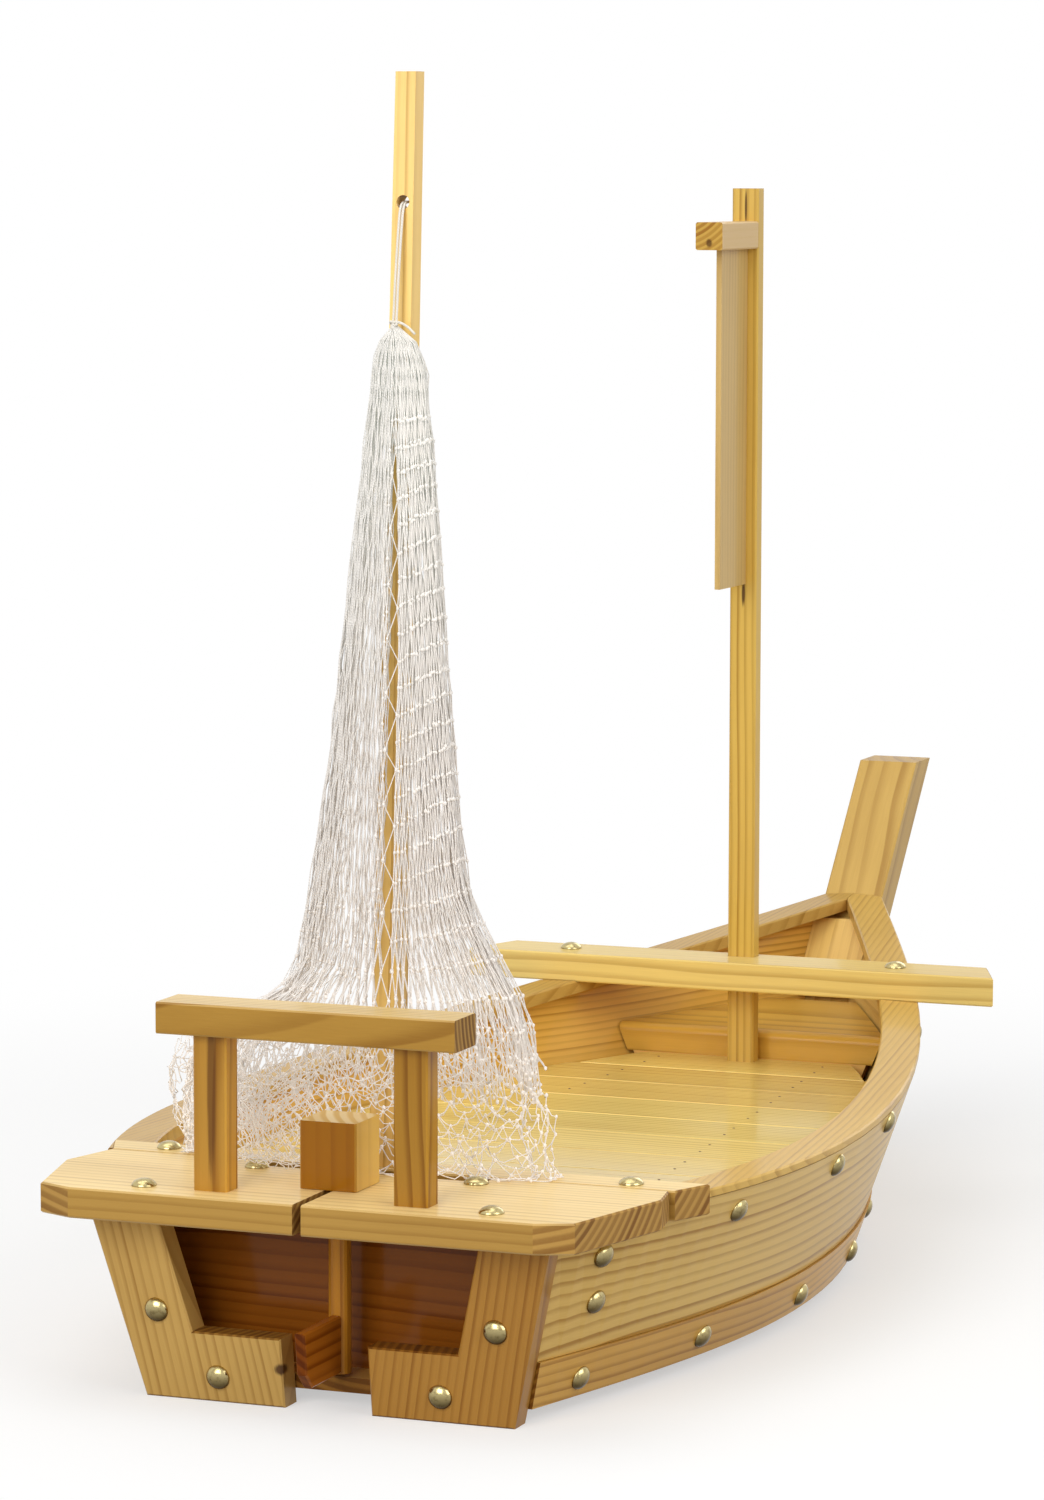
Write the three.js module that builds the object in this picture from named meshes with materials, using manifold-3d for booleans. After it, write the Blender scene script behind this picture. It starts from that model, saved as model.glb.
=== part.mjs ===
// A wooden sushi serving boat. Bent strakes with rabbeted rails form the hull, slats form
// the tray deck, and the raised stern deck carries a gate rail and a rudder that turns.
// Two masts lift out: one bears a yard and a board sail, the other a hanging net.
// Millimetres, +X starboard, +Y to the bow, +Z up. The origin is on the table, under the
// middle of the boat.
import * as THREE from "three";
import { mergeVertices } from "three/addons/utils/BufferGeometryUtils.js";
import Module from "manifold-3d";

const wasm = await Module();
wasm.setup();

// Whole boat
const LENGTH = 900;
const BEAM = 339;
const CLEAR = 0.3;
const EDGE = 0.8;

// Stern deck, made of a wide plank and a narrow one
const DECK_TOP = 101;
const PLANK_T = 14;
const AFT_PLANK = 92.4;
const FORE_PLANK = 22;
const AFT_EDGE = 224;
const CORNER_OUT = 17;
const CORNER_RUN = 7;
const DECK_SPREAD = 292;
const SPREAD_RUN = 71;
const AFT_PLANK_END = 284;
const PORT_SPREAD = 285;
const PORT_SPREAD_RUN = 60;
const PORT_PLANK_END = 269;
const FORE_PLANK_AFT_END = 279;
const FORE_PLANK_END = 297;
const FORE_PLANK_SHIFT = 5;
const KERF = 4.2;
const GRIP_LENGTH = 116;
const GRIP_WIDTH = 12.4;

// Hull lines and planking
const KEEL = 6.5;
const RAIL_TOP = 96.7;
const SHEER_RISE = 39;
const SHEER_SHARE = 0.3;
const SHEER_POWER = 1.7;
const WIDEST_SHARE = 0.291;
const BOTTOM_WIDEST_SHARE = 0.322;
const BOTTOM_BEAM = 271;
const HANDLE = 0.35;
const TOP_SPREAD = 0.55;
const TOP_TAPER = 0.43;
const BOTTOM_SPREAD = 0.28;
const BOTTOM_TAPER = 0.5;
const STRAKE_T = 5;
const STRAKE_PROUD = 1.5;
const STRAKE_SEAM = 29;
const RAIL_W = 20.7;
const RAIL_T = 7;
const RAIL_LIP = 4;
const BOTTOM_T = 7;

// Transom of two L-shaped boards, and the raked stem
const TRANSOM_FOOT_Y = 35;
const TRANSOM_RAKE = 8.7;
const TRANSOM_T = 14;
const TRANSOM_TOP = 224;
const TRANSOM_BOTTOM = 180;
const TRANSOM_LEG = 33.5;
const TRANSOM_FOOT = 32.7;
const TRANSOM_GAP = 42.4;
const STEM_TOP = 207;
const STEM_RAKE = 42.2;
const STEM_W = 34.6;
const STEM_RUN = 28.6;
const APRON_RUN = 9;

// Tray deck, bow platform and the framing below
const TRAY_TOP = 69.5;
const SLAT_T = 10;
const SLAT_COUNT = 11;
const SLAT_AFT_GAP = 13;
const SLAT_SEAM = 0.6;
const SLAT_END_GAP = 1;
const FRONT_CORNER = 9.5;
const STEP_SHARE = 0.688;
const STEP_RISE = 15.5;
const STEP_ROUND = 5;
const PLATFORM_NOSE = 16;
const BULKHEAD_T = 10;
const STERN_BULKHEAD_Y = 68;
const FRAME_SHARES = [0.233, 0.5];
const BEARER_W = 12;
const BEARER_H = 14;
const BEARER_AFT_SHARE = 0.257;
const BEARER_FORE_SHARE = 0.136;
const BATTEN_SHARE = 0.578;
const BATTEN_W = 24;
const BATTEN_L = 150;

// Crossbeam, foremast, yard and sail
const CROSSBEAM_BACK = 20.3;
const CROSSBEAM_L = 300;
const CROSSBEAM_W = 36;
const CROSSBEAM_T = 15.5;
const CROSSBEAM_SPLAY = 21;
const FOREMAST_W = 15;
const FOREMAST_D = 9.3;
const FOREMAST_BACK = 10.2;
const FOREMAST_TOP = 545;
const YARD_L = 59;
const YARD_W = 15;
const YARD_T = 14.7;
const YARD_DROP = 17.5;
const SAIL_L = 42.5;
const SAIL_H = 181;
const SAIL_T = 3;

// Aft mast, net and cord
const AFT_MAST_Y = 103.4;
const AFT_MAST_TOP = 600;
const AFT_MAST_FOOT_W = 13;
const AFT_MAST_HEAD_W = 10;
const AFT_MAST_RAKE = 3.3;
const CORD_HOLE_Z = 541;
const CORD_HOLE_D = 6.4;
const CORD_D = 1.2;
const STOPPER_D = 6;
const NET_NECK_Z = 481;
const NET_NECK_R = 9;
const NET_HANG_R = 35;
const NET_HANG_POWER = 0.9;
const NET_FLARE_R = 12;
const NET_FLARE_SHARE = 0.3;
const NET_PORT_SKIRT_R = 46;
const NET_PORT_SKIRT_SHARE = 0.185;
const NET_PORT_SKIRT_POWER = 8;
const NET_STARBOARD_SKIRT_R = 24;
const NET_STARBOARD_SKIRT_SHARE = 0.27;
const NET_STARBOARD_SKIRT_POWER = 5;
const NET_DEPTH = 36;
const NET_STAND = 3.5;
const NET_WRAP = 105;
const NET_FOLDS = 10;
const NET_FOLD_SHARE = 0.11;
const NET_T = 2.2;
const NET_HEM = 0.6;
const KNOT_D = 10;

// Gate rail on the stern deck
const GATE_Y = 21;
const GATE_POST_X = 48.5;
const GATE_POST_W = 16.3;
const GATE_POST_D = 12.8;
const GATE_POST_H = 71;
const GATE_BEAM_L = 144;
const GATE_BEAM_D = 25;
const GATE_BEAM_T = 14.4;

// Rudder
const RUDDER_Y = 49;
const RUDDER_HEAD_W = 27.6;
const RUDDER_HEAD_H = 31;
const RUDDER_POST_D = 10.4;
const RUDDER_POST_FOOT = 15.5;
const BLADE_TOP = 42.5;
const BLADE_FOOT = 16;
const BLADE_AFT = 2.6;
const BLADE_CUT = 7;
const BLADE_T = 5;

// Steps along the hull curves, up and around the net, and around round pieces
const HULL_STEPS = 36;
const END_STEPS = 4;
const NET_ROWS = 18;
const NET_COLUMNS = 36;
const ROUND_STEPS = 24;
const CORD_SIDES = 8;

// Places that several pieces share, measured from the aft edge of the stern deck
const fromAft = (distance) => distance - LENGTH / 2;
const alongHull = (share) => fromAft(LENGTH * share);
const slopeOf = (degrees) => Math.tan(THREE.MathUtils.degToRad(degrees));
const plankUnder = DECK_TOP - PLANK_T;
const plankFore = fromAft(AFT_PLANK + FORE_PLANK);
const bottomTop = KEEL + BOTTOM_T;
const slatUnder = TRAY_TOP - SLAT_T;
const stepTop = TRAY_TOP + STEP_RISE;
const stepY = alongHull(STEP_SHARE);
const crossbeamY = stepY - CROSSBEAM_BACK;
const foremastY = stepY - FOREMAST_BACK;
const sternBulkheadFore = fromAft(STERN_BULKHEAD_Y + BULKHEAD_T);
const stemAftFace = (z) => fromAft(LENGTH - STEM_RUN) - (STEM_TOP - z) * slopeOf(STEM_RAKE);
const transomAftFace = (z) => fromAft(TRANSOM_FOOT_Y) - z * slopeOf(TRANSOM_RAKE);
const transomForeFace = (z) => transomAftFace(z) + TRANSOM_T;
const transomEdge = (z) => THREE.MathUtils.mapLinear(z, 0, plankUnder, TRANSOM_BOTTOM / 2, TRANSOM_TOP / 2);
const aftMastAxis = (z) => fromAft(AFT_MAST_Y) + (z - DECK_TOP) * slopeOf(AFT_MAST_RAKE);
const aftMastHalf = (z) =>
  THREE.MathUtils.mapLinear(z, TRAY_TOP, AFT_MAST_TOP, AFT_MAST_FOOT_W / 2, AFT_MAST_HEAD_W / 2);

// Geometry helpers: solids for cutting and joining, and the basic board shapes
const spaced = (from, to, steps) => Array.from({ length: steps + 1 }, (_, i) => from + ((to - from) * i) / steps);

const bothSides = (half) => [...half, ...half.map(([x, y]) => [-x, y]).reverse()];

const welded = (geometry) => {
  const bare = new THREE.BufferGeometry();
  bare.setAttribute("position", geometry.getAttribute("position").clone());
  bare.setIndex(geometry.getIndex());
  return mergeVertices(bare, 1e-4);
};

const toSolid = (geometry) => {
  const merged = welded(geometry);
  const mesh = new wasm.Mesh({
    numProp: 3,
    vertProperties: Float32Array.from(merged.getAttribute("position").array),
    triVerts: Uint32Array.from(merged.getIndex().array),
  });
  return new wasm.Manifold(mesh);
};

const toGeometry = (solid) => {
  const mesh = solid.getMesh();
  const geometry = new THREE.BufferGeometry();
  geometry.setAttribute("position", new THREE.Float32BufferAttribute(mesh.vertProperties, 3));
  geometry.setIndex(Array.from(mesh.triVerts));
  return geometry;
};

const cut = (geometry, ...tools) =>
  toGeometry(tools.reduce((solid, tool) => solid.subtract(toSolid(tool)), toSolid(geometry)));

const join = (geometry, ...others) =>
  toGeometry(others.reduce((solid, other) => solid.add(toSolid(other)), toSolid(geometry)));

const box = (x0, x1, y0, y1, z0, z1) =>
  new THREE.BoxGeometry(x1 - x0, y1 - y0, z1 - z0).translate((x0 + x1) / 2, (y0 + y1) / 2, (z0 + z1) / 2);

const flipped = (geometry) => {
  const index = geometry.getIndex();
  for (let i = 0; i < index.count; i += 3) {
    const first = index.getX(i);
    index.setX(i, index.getX(i + 1));
    index.setX(i + 1, first);
  }
  return geometry;
};

const mirrored = (geometry) => flipped(welded(geometry).scale(-1, 1, 1));

const moveEach = (geometry, change) => {
  const position = geometry.getAttribute("position");
  const point = new THREE.Vector3();
  for (let i = 0; i < position.count; i++) {
    change(point.fromBufferAttribute(position, i));
    position.setXYZ(i, point.x, point.y, point.z);
  }
  return geometry;
};

const sheared = (geometry, slope, level) =>
  moveEach(geometry, (point) => {
    point.y += (point.z - level) * slope;
  });

// A flat board from a plan outline, with its long edges eased when asked
const board = (outline, z0, z1, ease = 0) => {
  const shape = new THREE.Shape(outline.map(([x, y]) => new THREE.Vector2(x, y)));
  const geometry = new THREE.ExtrudeGeometry(shape, {
    depth: z1 - z0 - 2 * ease,
    bevelEnabled: ease > 0,
    bevelThickness: ease,
    bevelSize: ease,
    bevelOffset: -ease,
    bevelSegments: 1,
  });
  return geometry.translate(0, 0, z0 + ease);
};

// A square bar with eased long edges, standing on z = 0
const bar = (width, depth, height) => {
  const x = width / 2;
  const y = depth / 2;
  const outline = [
    [x - EDGE, -y], [x, EDGE - y], [x, y - EDGE], [x - EDGE, y],
    [EDGE - x, y], [-x, y - EDGE], [-x, EDGE - y], [EDGE - x, -y],
  ];
  return board(outline, 0, height);
};

// A solid through matching rings of points; its end faces fan out from each ring's first point
const loft = (rings) => {
  const count = rings[0].length;
  const last = (rings.length - 1) * count;
  const index = [];
  for (let ring = 0; ring < last; ring += count) {
    for (let j = 0; j < count; j++) {
      const a = ring + j;
      const b = ring + ((j + 1) % count);
      index.push(a, b, b + count, a, b + count, a + count);
    }
  }
  for (let j = 1; j + 1 < count; j++) {
    index.push(0, j + 1, j, last, last + j, last + j + 1);
  }
  const geometry = new THREE.BufferGeometry();
  geometry.setAttribute("position", new THREE.Float32BufferAttribute(rings.flat(2), 3));
  geometry.setIndex(index);
  return geometry;
};

// Hull lines: one plan curve at the top edge of the planking and one at the bottom edge.
// Each runs from the transom out to the widest place and from there in to the stem.
const planLine = (aft, spread, widest, fore, taper) => {
  const aftRun = (widest.y - aft.y) * HANDLE;
  const foreRun = (fore.y - widest.y) * HANDLE;
  const aftHalf = new THREE.CubicBezierCurve(
    aft,
    new THREE.Vector2(aft.x + aftRun * spread, aft.y + aftRun),
    new THREE.Vector2(widest.x, widest.y - aftRun),
    widest,
  );
  const foreHalf = new THREE.CubicBezierCurve(
    widest,
    new THREE.Vector2(widest.x, widest.y + foreRun),
    new THREE.Vector2(fore.x + foreRun * taper, fore.y - foreRun),
    fore,
  );
  return (s) => (s < 0.5 ? aftHalf.getPoint(s * 2) : foreHalf.getPoint(s * 2 - 1));
};

const topLine = planLine(
  new THREE.Vector2(TRANSOM_TOP / 2, transomForeFace(plankUnder)),
  TOP_SPREAD,
  new THREE.Vector2(BEAM / 2, alongHull(WIDEST_SHARE)),
  new THREE.Vector2(STEM_W / 2, stemAftFace(RAIL_TOP + SHEER_RISE)),
  TOP_TAPER,
);

const bottomLine = planLine(
  new THREE.Vector2(transomEdge(KEEL), transomForeFace(KEEL)),
  BOTTOM_SPREAD,
  new THREE.Vector2(BOTTOM_BEAM / 2, alongHull(BOTTOM_WIDEST_SHARE)),
  new THREE.Vector2(STEM_W / 2, stemAftFace(KEEL)),
  BOTTOM_TAPER,
);

const railTop = (y) => {
  const start = alongHull(SHEER_SHARE);
  const share = Math.max(0, y - start) / (stemAftFace(RAIL_TOP + SHEER_RISE) - start);
  return RAIL_TOP + SHEER_RISE * share ** SHEER_POWER;
};

const plankTop = (s) => railTop(topLine(s).y) - RAIL_LIP;

// A point of the planking at a share s of its length and a height z, sunk in by a depth
const outerSkin = (s, z) => {
  const share = (z - KEEL) / (plankTop(s) - KEEL);
  return bottomLine(s).lerp(topLine(s), share);
};

const skin = (s, z, depth) => {
  const step = 1e-3;
  const along = outerSkin(s + step, z).sub(outerSkin(s - step, z)).normalize();
  const point = outerSkin(s, z);
  return [point.x - along.y * depth, point.y + along.x * depth, z];
};

// Half the clear width inside the planking at a place y and a height z
const clearHalf = (y, z) => {
  let low = -0.1;
  let high = 1.1;
  for (let i = 0; i < 40; i++) {
    const middle = (low + high) / 2;
    if (skin(middle, z, STRAKE_T)[1] < y) {
      low = middle;
    } else {
      high = middle;
    }
  }
  return skin(low, z, STRAKE_T)[0] - CLEAR;
};

const hullShares = spaced(-1 / HULL_STEPS, 1 + 1 / HULL_STEPS, HULL_STEPS + 2);

// Blocks that trim the planking and rails to the stem, the transom and the stern deck
const far = LENGTH;
const stemBlock = sheared(
  box(-far, far, stemAftFace(0) - CLEAR, stemAftFace(0) + far, -far, far),
  slopeOf(STEM_RAKE),
  0,
);
const transomBlock = sheared(
  box(-far, far, -far, transomForeFace(0) + CLEAR, -far, far),
  -slopeOf(TRANSOM_RAKE),
  0,
);
const sternDeckBlock = box(-far, far, -far, plankFore + CLEAR, plankUnder, far);
const portBlock = box(-far, CLEAR / 2, -far, far, -far, far);

const crossbeamAft = crossbeamY - CROSSBEAM_W / 2;
const crossbeamFore = crossbeamY + CROSSBEAM_W / 2;
const crossbeamUnder = railTop(crossbeamAft);
const crossbeamBlock = box(
  -far, far,
  crossbeamAft - CLEAR, crossbeamFore + CLEAR,
  crossbeamUnder - CLEAR, crossbeamUnder + far,
);

const strake = (lowOf, highOf, proud) =>
  loft(
    hullShares.map((s) => [
      skin(s, lowOf(s), -proud),
      skin(s, lowOf(s), STRAKE_T),
      skin(s, highOf(s), STRAKE_T),
      skin(s, highOf(s), -proud),
    ]),
  );

const upperStrake = () =>
  cut(
    strake(() => STRAKE_SEAM + CLEAR / 2, plankTop, 0),
    stemBlock, transomBlock, sternDeckBlock,
  );

const lowerStrake = () =>
  cut(
    strake(() => KEEL, () => STRAKE_SEAM - CLEAR / 2, STRAKE_PROUD),
    stemBlock, transomBlock,
  );

// The rail laps over the top edge of the planking and reaches down inside it
const railRing = (s) => {
  const lap = plankTop(s) + CLEAR;
  const top = plankTop(s) + RAIL_LIP;
  const under = top - RAIL_T;
  const seat = STRAKE_T + CLEAR;
  const lean = skin(s, plankTop(s), 0);
  const inner = skin(s, plankTop(s), RAIL_W);
  const at = ([x, y], z) => [x, y, z];
  return [
    at(skin(s, plankTop(s), seat), lap),
    at(skin(s, under, seat), under),
    at(inner, under),
    at(inner, top - EDGE),
    at(skin(s, plankTop(s), RAIL_W - EDGE), top),
    at(skin(s, plankTop(s), EDGE), top),
    at(lean, top - EDGE),
    at(lean, lap),
  ];
};

const rail = () =>
  cut(
    loft(hullShares.map(railRing)),
    stemBlock, sternDeckBlock, portBlock, crossbeamBlock,
    box(-far, far, -far, plankFore + CLEAR, -far, far),
  );

const plankOutline = (y0, y1, steps, halfAt) => bothSides(spaced(y0, y1, steps).map((y) => [halfAt(y), y]));

const bottomBoard = () => {
  const aft = transomForeFace(KEEL) + CLEAR;
  const fore = stemAftFace(KEEL) - CLEAR;
  return board(plankOutline(aft, fore, HULL_STEPS, (y) => clearHalf(y, KEEL)), KEEL, bottomTop);
};

// An upright board across the hull that follows the planking on both edges
const crossBoard = (y0, y1, z0, z1) => {
  const halfAt = (z) => Math.min(clearHalf(y0, z), clearHalf(y1, z));
  const outline = bothSides(spaced(z0, z1, END_STEPS).map((z) => [halfAt(z), -z]));
  return board(outline.reverse(), 0, y1 - y0).rotateX(-Math.PI / 2).translate(0, y0, 0);
};

// One half of the transom: an L that leans aft, its foot turned in to the rudder gap
const transomHalf = () => {
  const leg = (z) => transomEdge(z) - TRANSOM_LEG;
  const outline = [
    [TRANSOM_GAP / 2, 0],
    [transomEdge(0), 0],
    [transomEdge(plankUnder), -plankUnder],
    [leg(plankUnder), -plankUnder],
    [leg(TRANSOM_FOOT), -TRANSOM_FOOT],
    [TRANSOM_GAP / 2, -TRANSOM_FOOT],
  ];
  const upright = board(outline.reverse(), 0, TRANSOM_T, EDGE).rotateX(-Math.PI / 2);
  return sheared(upright.translate(0, transomAftFace(0), 0), -slopeOf(TRANSOM_RAKE), 0);
};

const stem = () => {
  const upright = bar(STEM_W, STEM_RUN, STEM_TOP - KEEL);
  const middle = stemAftFace(KEEL) + STEM_RUN / 2;
  return sheared(upright.translate(0, middle, KEEL), slopeOf(STEM_RAKE), KEEL);
};

// The apron fills the hollow of the bow behind the stem, above the bow platform
const apron = () => {
  const top = railTop(stemAftFace(RAIL_TOP)) - RAIL_T - CLEAR;
  return loft(
    spaced(stepTop, top, END_STEPS).map((z) => {
      const aft = stemAftFace(z) - APRON_RUN;
      const fore = stemAftFace(z) - CLEAR;
      return [
        [-clearHalf(aft, z), aft, z],
        [clearHalf(aft, z), aft, z],
        [clearHalf(fore, z), fore, z],
        [-clearHalf(fore, z), fore, z],
      ];
    }),
  );
};

// Stern deck: the wide plank has cut corners, a kerf, the rudder hole and the grip slot,
// and is shaped by hand, so its port end is the smaller one
const aftPlank = () => {
  const aft = fromAft(0);
  const fore = fromAft(AFT_PLANK);
  const corner = AFT_EDGE / 2 + CORNER_OUT;
  const outline = [
    [AFT_EDGE / 2, aft],
    [corner, aft + CORNER_RUN],
    [DECK_SPREAD / 2, aft + SPREAD_RUN],
    [AFT_PLANK_END / 2, fore],
    [-PORT_PLANK_END / 2, fore],
    [-PORT_SPREAD / 2, aft + PORT_SPREAD_RUN],
    [-corner, aft + CORNER_RUN],
    [-AFT_EDGE / 2, aft],
  ];
  const rudderHole = new THREE.CylinderGeometry(
    RUDDER_POST_D / 2 + CLEAR, RUDDER_POST_D / 2 + CLEAR, 3 * PLANK_T, ROUND_STEPS,
  );
  return cut(
    board(outline, plankUnder, DECK_TOP, EDGE),
    box(-KERF / 2, KERF / 2, aft - KERF, fromAft(RUDDER_Y), 0, far),
    rudderHole.rotateX(Math.PI / 2).translate(0, fromAft(RUDDER_Y), DECK_TOP),
    box(-GRIP_LENGTH / 2, GRIP_LENGTH / 2, fore - GRIP_WIDTH, fore + GRIP_WIDTH, 0, far),
  );
};

const aftMastRing = (z, gap) => {
  const half = aftMastHalf(z) + gap;
  const y = aftMastAxis(z);
  return [
    [-half, y - half, z],
    [half, y - half, z],
    [half, y + half, z],
    [-half, y + half, z],
  ];
};

const forePlank = () => {
  const aft = fromAft(AFT_PLANK) + CLEAR;
  const outline = [
    [FORE_PLANK_SHIFT + FORE_PLANK_AFT_END / 2, aft],
    [FORE_PLANK_SHIFT + FORE_PLANK_END / 2, plankFore],
    [FORE_PLANK_SHIFT - FORE_PLANK_END / 2, plankFore],
    [FORE_PLANK_SHIFT - FORE_PLANK_AFT_END / 2, aft],
  ];
  const mastHole = loft([aftMastRing(plankUnder - PLANK_T, CLEAR), aftMastRing(DECK_TOP + PLANK_T, CLEAR)]);
  return cut(board(outline, plankUnder, DECK_TOP, EDGE), mastHole);
};

// Tray deck slats follow the planking; the foremost one has its corners rounded off
const slatHalf = (y) => clearHalf(y, slatUnder) - SLAT_END_GAP;

const slat = (number) => {
  const pitch = (stepY - CLEAR - sternBulkheadFore - SLAT_AFT_GAP) / SLAT_COUNT;
  const fore = stepY - CLEAR - number * pitch;
  const aft = fore - pitch + SLAT_SEAM;
  const rounded = spaced(0, Math.PI / 2, 2 * END_STEPS).map((turn) => {
    const y = aft + (fore - aft) * Math.sin(turn);
    return [slatHalf(y) - FRONT_CORNER * (1 - Math.cos(turn) / 2), y];
  });
  const outline = number === 0 ? bothSides(rounded) : plankOutline(aft, fore, END_STEPS, slatHalf);
  return board(outline, slatUnder, TRAY_TOP, EDGE);
};

// The bow platform flares with the planking and has its step edge rounded
const bowPlatform = () => {
  const fore = stemAftFace(TRAY_TOP) - PLATFORM_NOSE;
  const ring = (z) =>
    plankOutline(stepY, fore, HULL_STEPS / 4, (y) => clearHalf(y, z) - SLAT_END_GAP).map(([x, y]) => [x, y, z]);
  const corner = new THREE.Shape([new THREE.Vector2(-far, 0), new THREE.Vector2(-far, far)]);
  corner.lineTo(STEP_ROUND, far);
  corner.lineTo(STEP_ROUND, 0);
  corner.absarc(STEP_ROUND, -STEP_ROUND, STEP_ROUND, Math.PI / 2, Math.PI, false);
  corner.lineTo(-far, -STEP_ROUND);
  const rounding = new THREE.ExtrudeGeometry(corner, { depth: 2 * far, bevelEnabled: false, curveSegments: 6 });
  const placed = rounding.rotateX(Math.PI / 2).rotateZ(Math.PI / 2).translate(-far, stepY, stepTop);
  return cut(loft([ring(TRAY_TOP), ring(stepTop)]), placed);
};

const bearer = () => {
  const aft = sternBulkheadFore + CLEAR;
  const fore = stepY - CLEAR;
  const aftX = BEAM * BEARER_AFT_SHARE;
  const foreX = BEAM * BEARER_FORE_SHARE;
  const outline = [
    [aftX - BEARER_W / 2, aft],
    [aftX + BEARER_W / 2, aft],
    [foreX + BEARER_W / 2, fore],
    [foreX - BEARER_W / 2, fore],
  ];
  return board(outline, slatUnder - BEARER_H, slatUnder);
};

// The crossbeam's ends are cut on the splay, so its fore edge is the shorter one
const crossbeam = () => {
  const ends = [
    [CROSSBEAM_L / 2, crossbeamAft],
    [CROSSBEAM_L / 2 - CROSSBEAM_W * slopeOf(CROSSBEAM_SPLAY), crossbeamFore],
  ];
  const mastX = FOREMAST_W / 2 + CLEAR;
  const mastY = FOREMAST_D / 2 + CLEAR;
  return cut(
    board(bothSides(ends), crossbeamUnder, crossbeamUnder + CROSSBEAM_T, EDGE),
    box(-mastX, mastX, foremastY - mastY, foremastY + mastY, -far, far),
  );
};

// Aft mast with the hole that the net's cord passes through
const aftMast = () => {
  const hole = new THREE.CylinderGeometry(CORD_HOLE_D / 2, CORD_HOLE_D / 2, 4 * AFT_MAST_FOOT_W, ROUND_STEPS);
  return cut(
    loft([aftMastRing(TRAY_TOP, 0), aftMastRing(AFT_MAST_TOP, 0)]),
    hole.translate(0, aftMastAxis(CORD_HOLE_Z), CORD_HOLE_Z),
  );
};

// The net hangs from its knot on the aft side of the mast, folds as it falls, and spreads
// out where it meets the deck; it is open toward the bow
const netHem = DECK_TOP + NET_HEM;

const netPoint = (share, angle, depth) => {
  const z = THREE.MathUtils.lerp(netHem, NET_NECK_Z, share);
  const hang = NET_NECK_R + NET_HANG_R * (1 - share) ** NET_HANG_POWER;
  const flare = NET_FLARE_R * Math.exp(-((share / NET_FLARE_SHARE) ** 2));
  const side = (1 + Math.sin(angle)) / 2;
  const skirtR = THREE.MathUtils.lerp(NET_PORT_SKIRT_R, NET_STARBOARD_SKIRT_R, side);
  const skirtShare = THREE.MathUtils.lerp(NET_PORT_SKIRT_SHARE, NET_STARBOARD_SKIRT_SHARE, side);
  const skirtPower = THREE.MathUtils.lerp(NET_PORT_SKIRT_POWER, NET_STARBOARD_SKIRT_POWER, side);
  const wide = hang + flare + skirtR * Math.exp(-((share / skirtShare) ** skirtPower));
  const deep = wide / (1 + wide / NET_DEPTH);
  const fold = 1 + NET_FOLD_SHARE * Math.cos(NET_FOLDS * angle);
  const x = (wide * fold + depth) * Math.sin(angle);
  const y = aftMastAxis(z) - NET_STAND - (deep * fold + depth) * Math.cos(angle);
  return [x, y, z];
};

const net = () => {
  const wrap = THREE.MathUtils.degToRad(NET_WRAP);
  const shares = spaced(0, 1, NET_ROWS).map((share) => share ** 1.3);
  const rings = spaced(-wrap, wrap, NET_COLUMNS).map((angle) => [
    ...shares.map((share) => netPoint(share, angle, -NET_T / 2)),
    ...shares.map((share) => netPoint(share, angle, NET_T / 2)).reverse(),
  ]);
  const knot = new THREE.SphereGeometry(KNOT_D / 2, 12, 8);
  const [, knotY] = netPoint(1, 0, 0);
  return join(curtain(rings), knot.translate(0, knotY, NET_NECK_Z));
};

// A folded sheet through matching rings whose end faces are narrow strips
const curtain = (rings) => {
  const geometry = loft(rings);
  const count = rings[0].length;
  const sides = 6 * count * (rings.length - 1);
  const index = Array.from(geometry.getIndex().array.slice(0, sides));
  const last = (rings.length - 1) * count;
  for (let j = 0; j + 1 < count / 2; j++) {
    const k = count - 1 - j;
    index.push(j, k, j + 1, j + 1, k, k - 1);
    index.push(last + j, last + j + 1, last + k, last + j + 1, last + k - 1, last + k);
  }
  geometry.setIndex(index);
  return geometry;
};

// The doubled cord rises from the knot, enters the hole and ends in a stopper knot
const CORD_ROUTE = [
  [0.75, -336, 486.4],
  [0.75, -334, 503],
  [0.75, -331.4, 520],
  [0.75, -329, 533],
  [0.75, -327.9, 537.4],
  [0.75, -325.6, 540.4],
  [0.75, -322.5, 541],
  [0.75, -314, 541],
];

const cord = () => {
  const section = new THREE.Shape().absarc(0, 0, CORD_D / 2, 0, 2 * Math.PI);
  const strand = (side) => {
    const points = CORD_ROUTE.map(([x, y, z]) => new THREE.Vector3(side * x, y, z));
    return new THREE.ExtrudeGeometry(section, {
      extrudePath: new THREE.CatmullRomCurve3(points),
      steps: 20,
      curveSegments: CORD_SIDES / 2,
      bevelEnabled: false,
    });
  };
  const stopperY = aftMastAxis(CORD_HOLE_Z) + aftMastHalf(CORD_HOLE_Z) + CLEAR + STOPPER_D / 2;
  const stopper = new THREE.SphereGeometry(STOPPER_D / 2, 12, 8);
  return join(strand(1), strand(-1), stopper.translate(0, stopperY, CORD_HOLE_Z));
};

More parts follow.
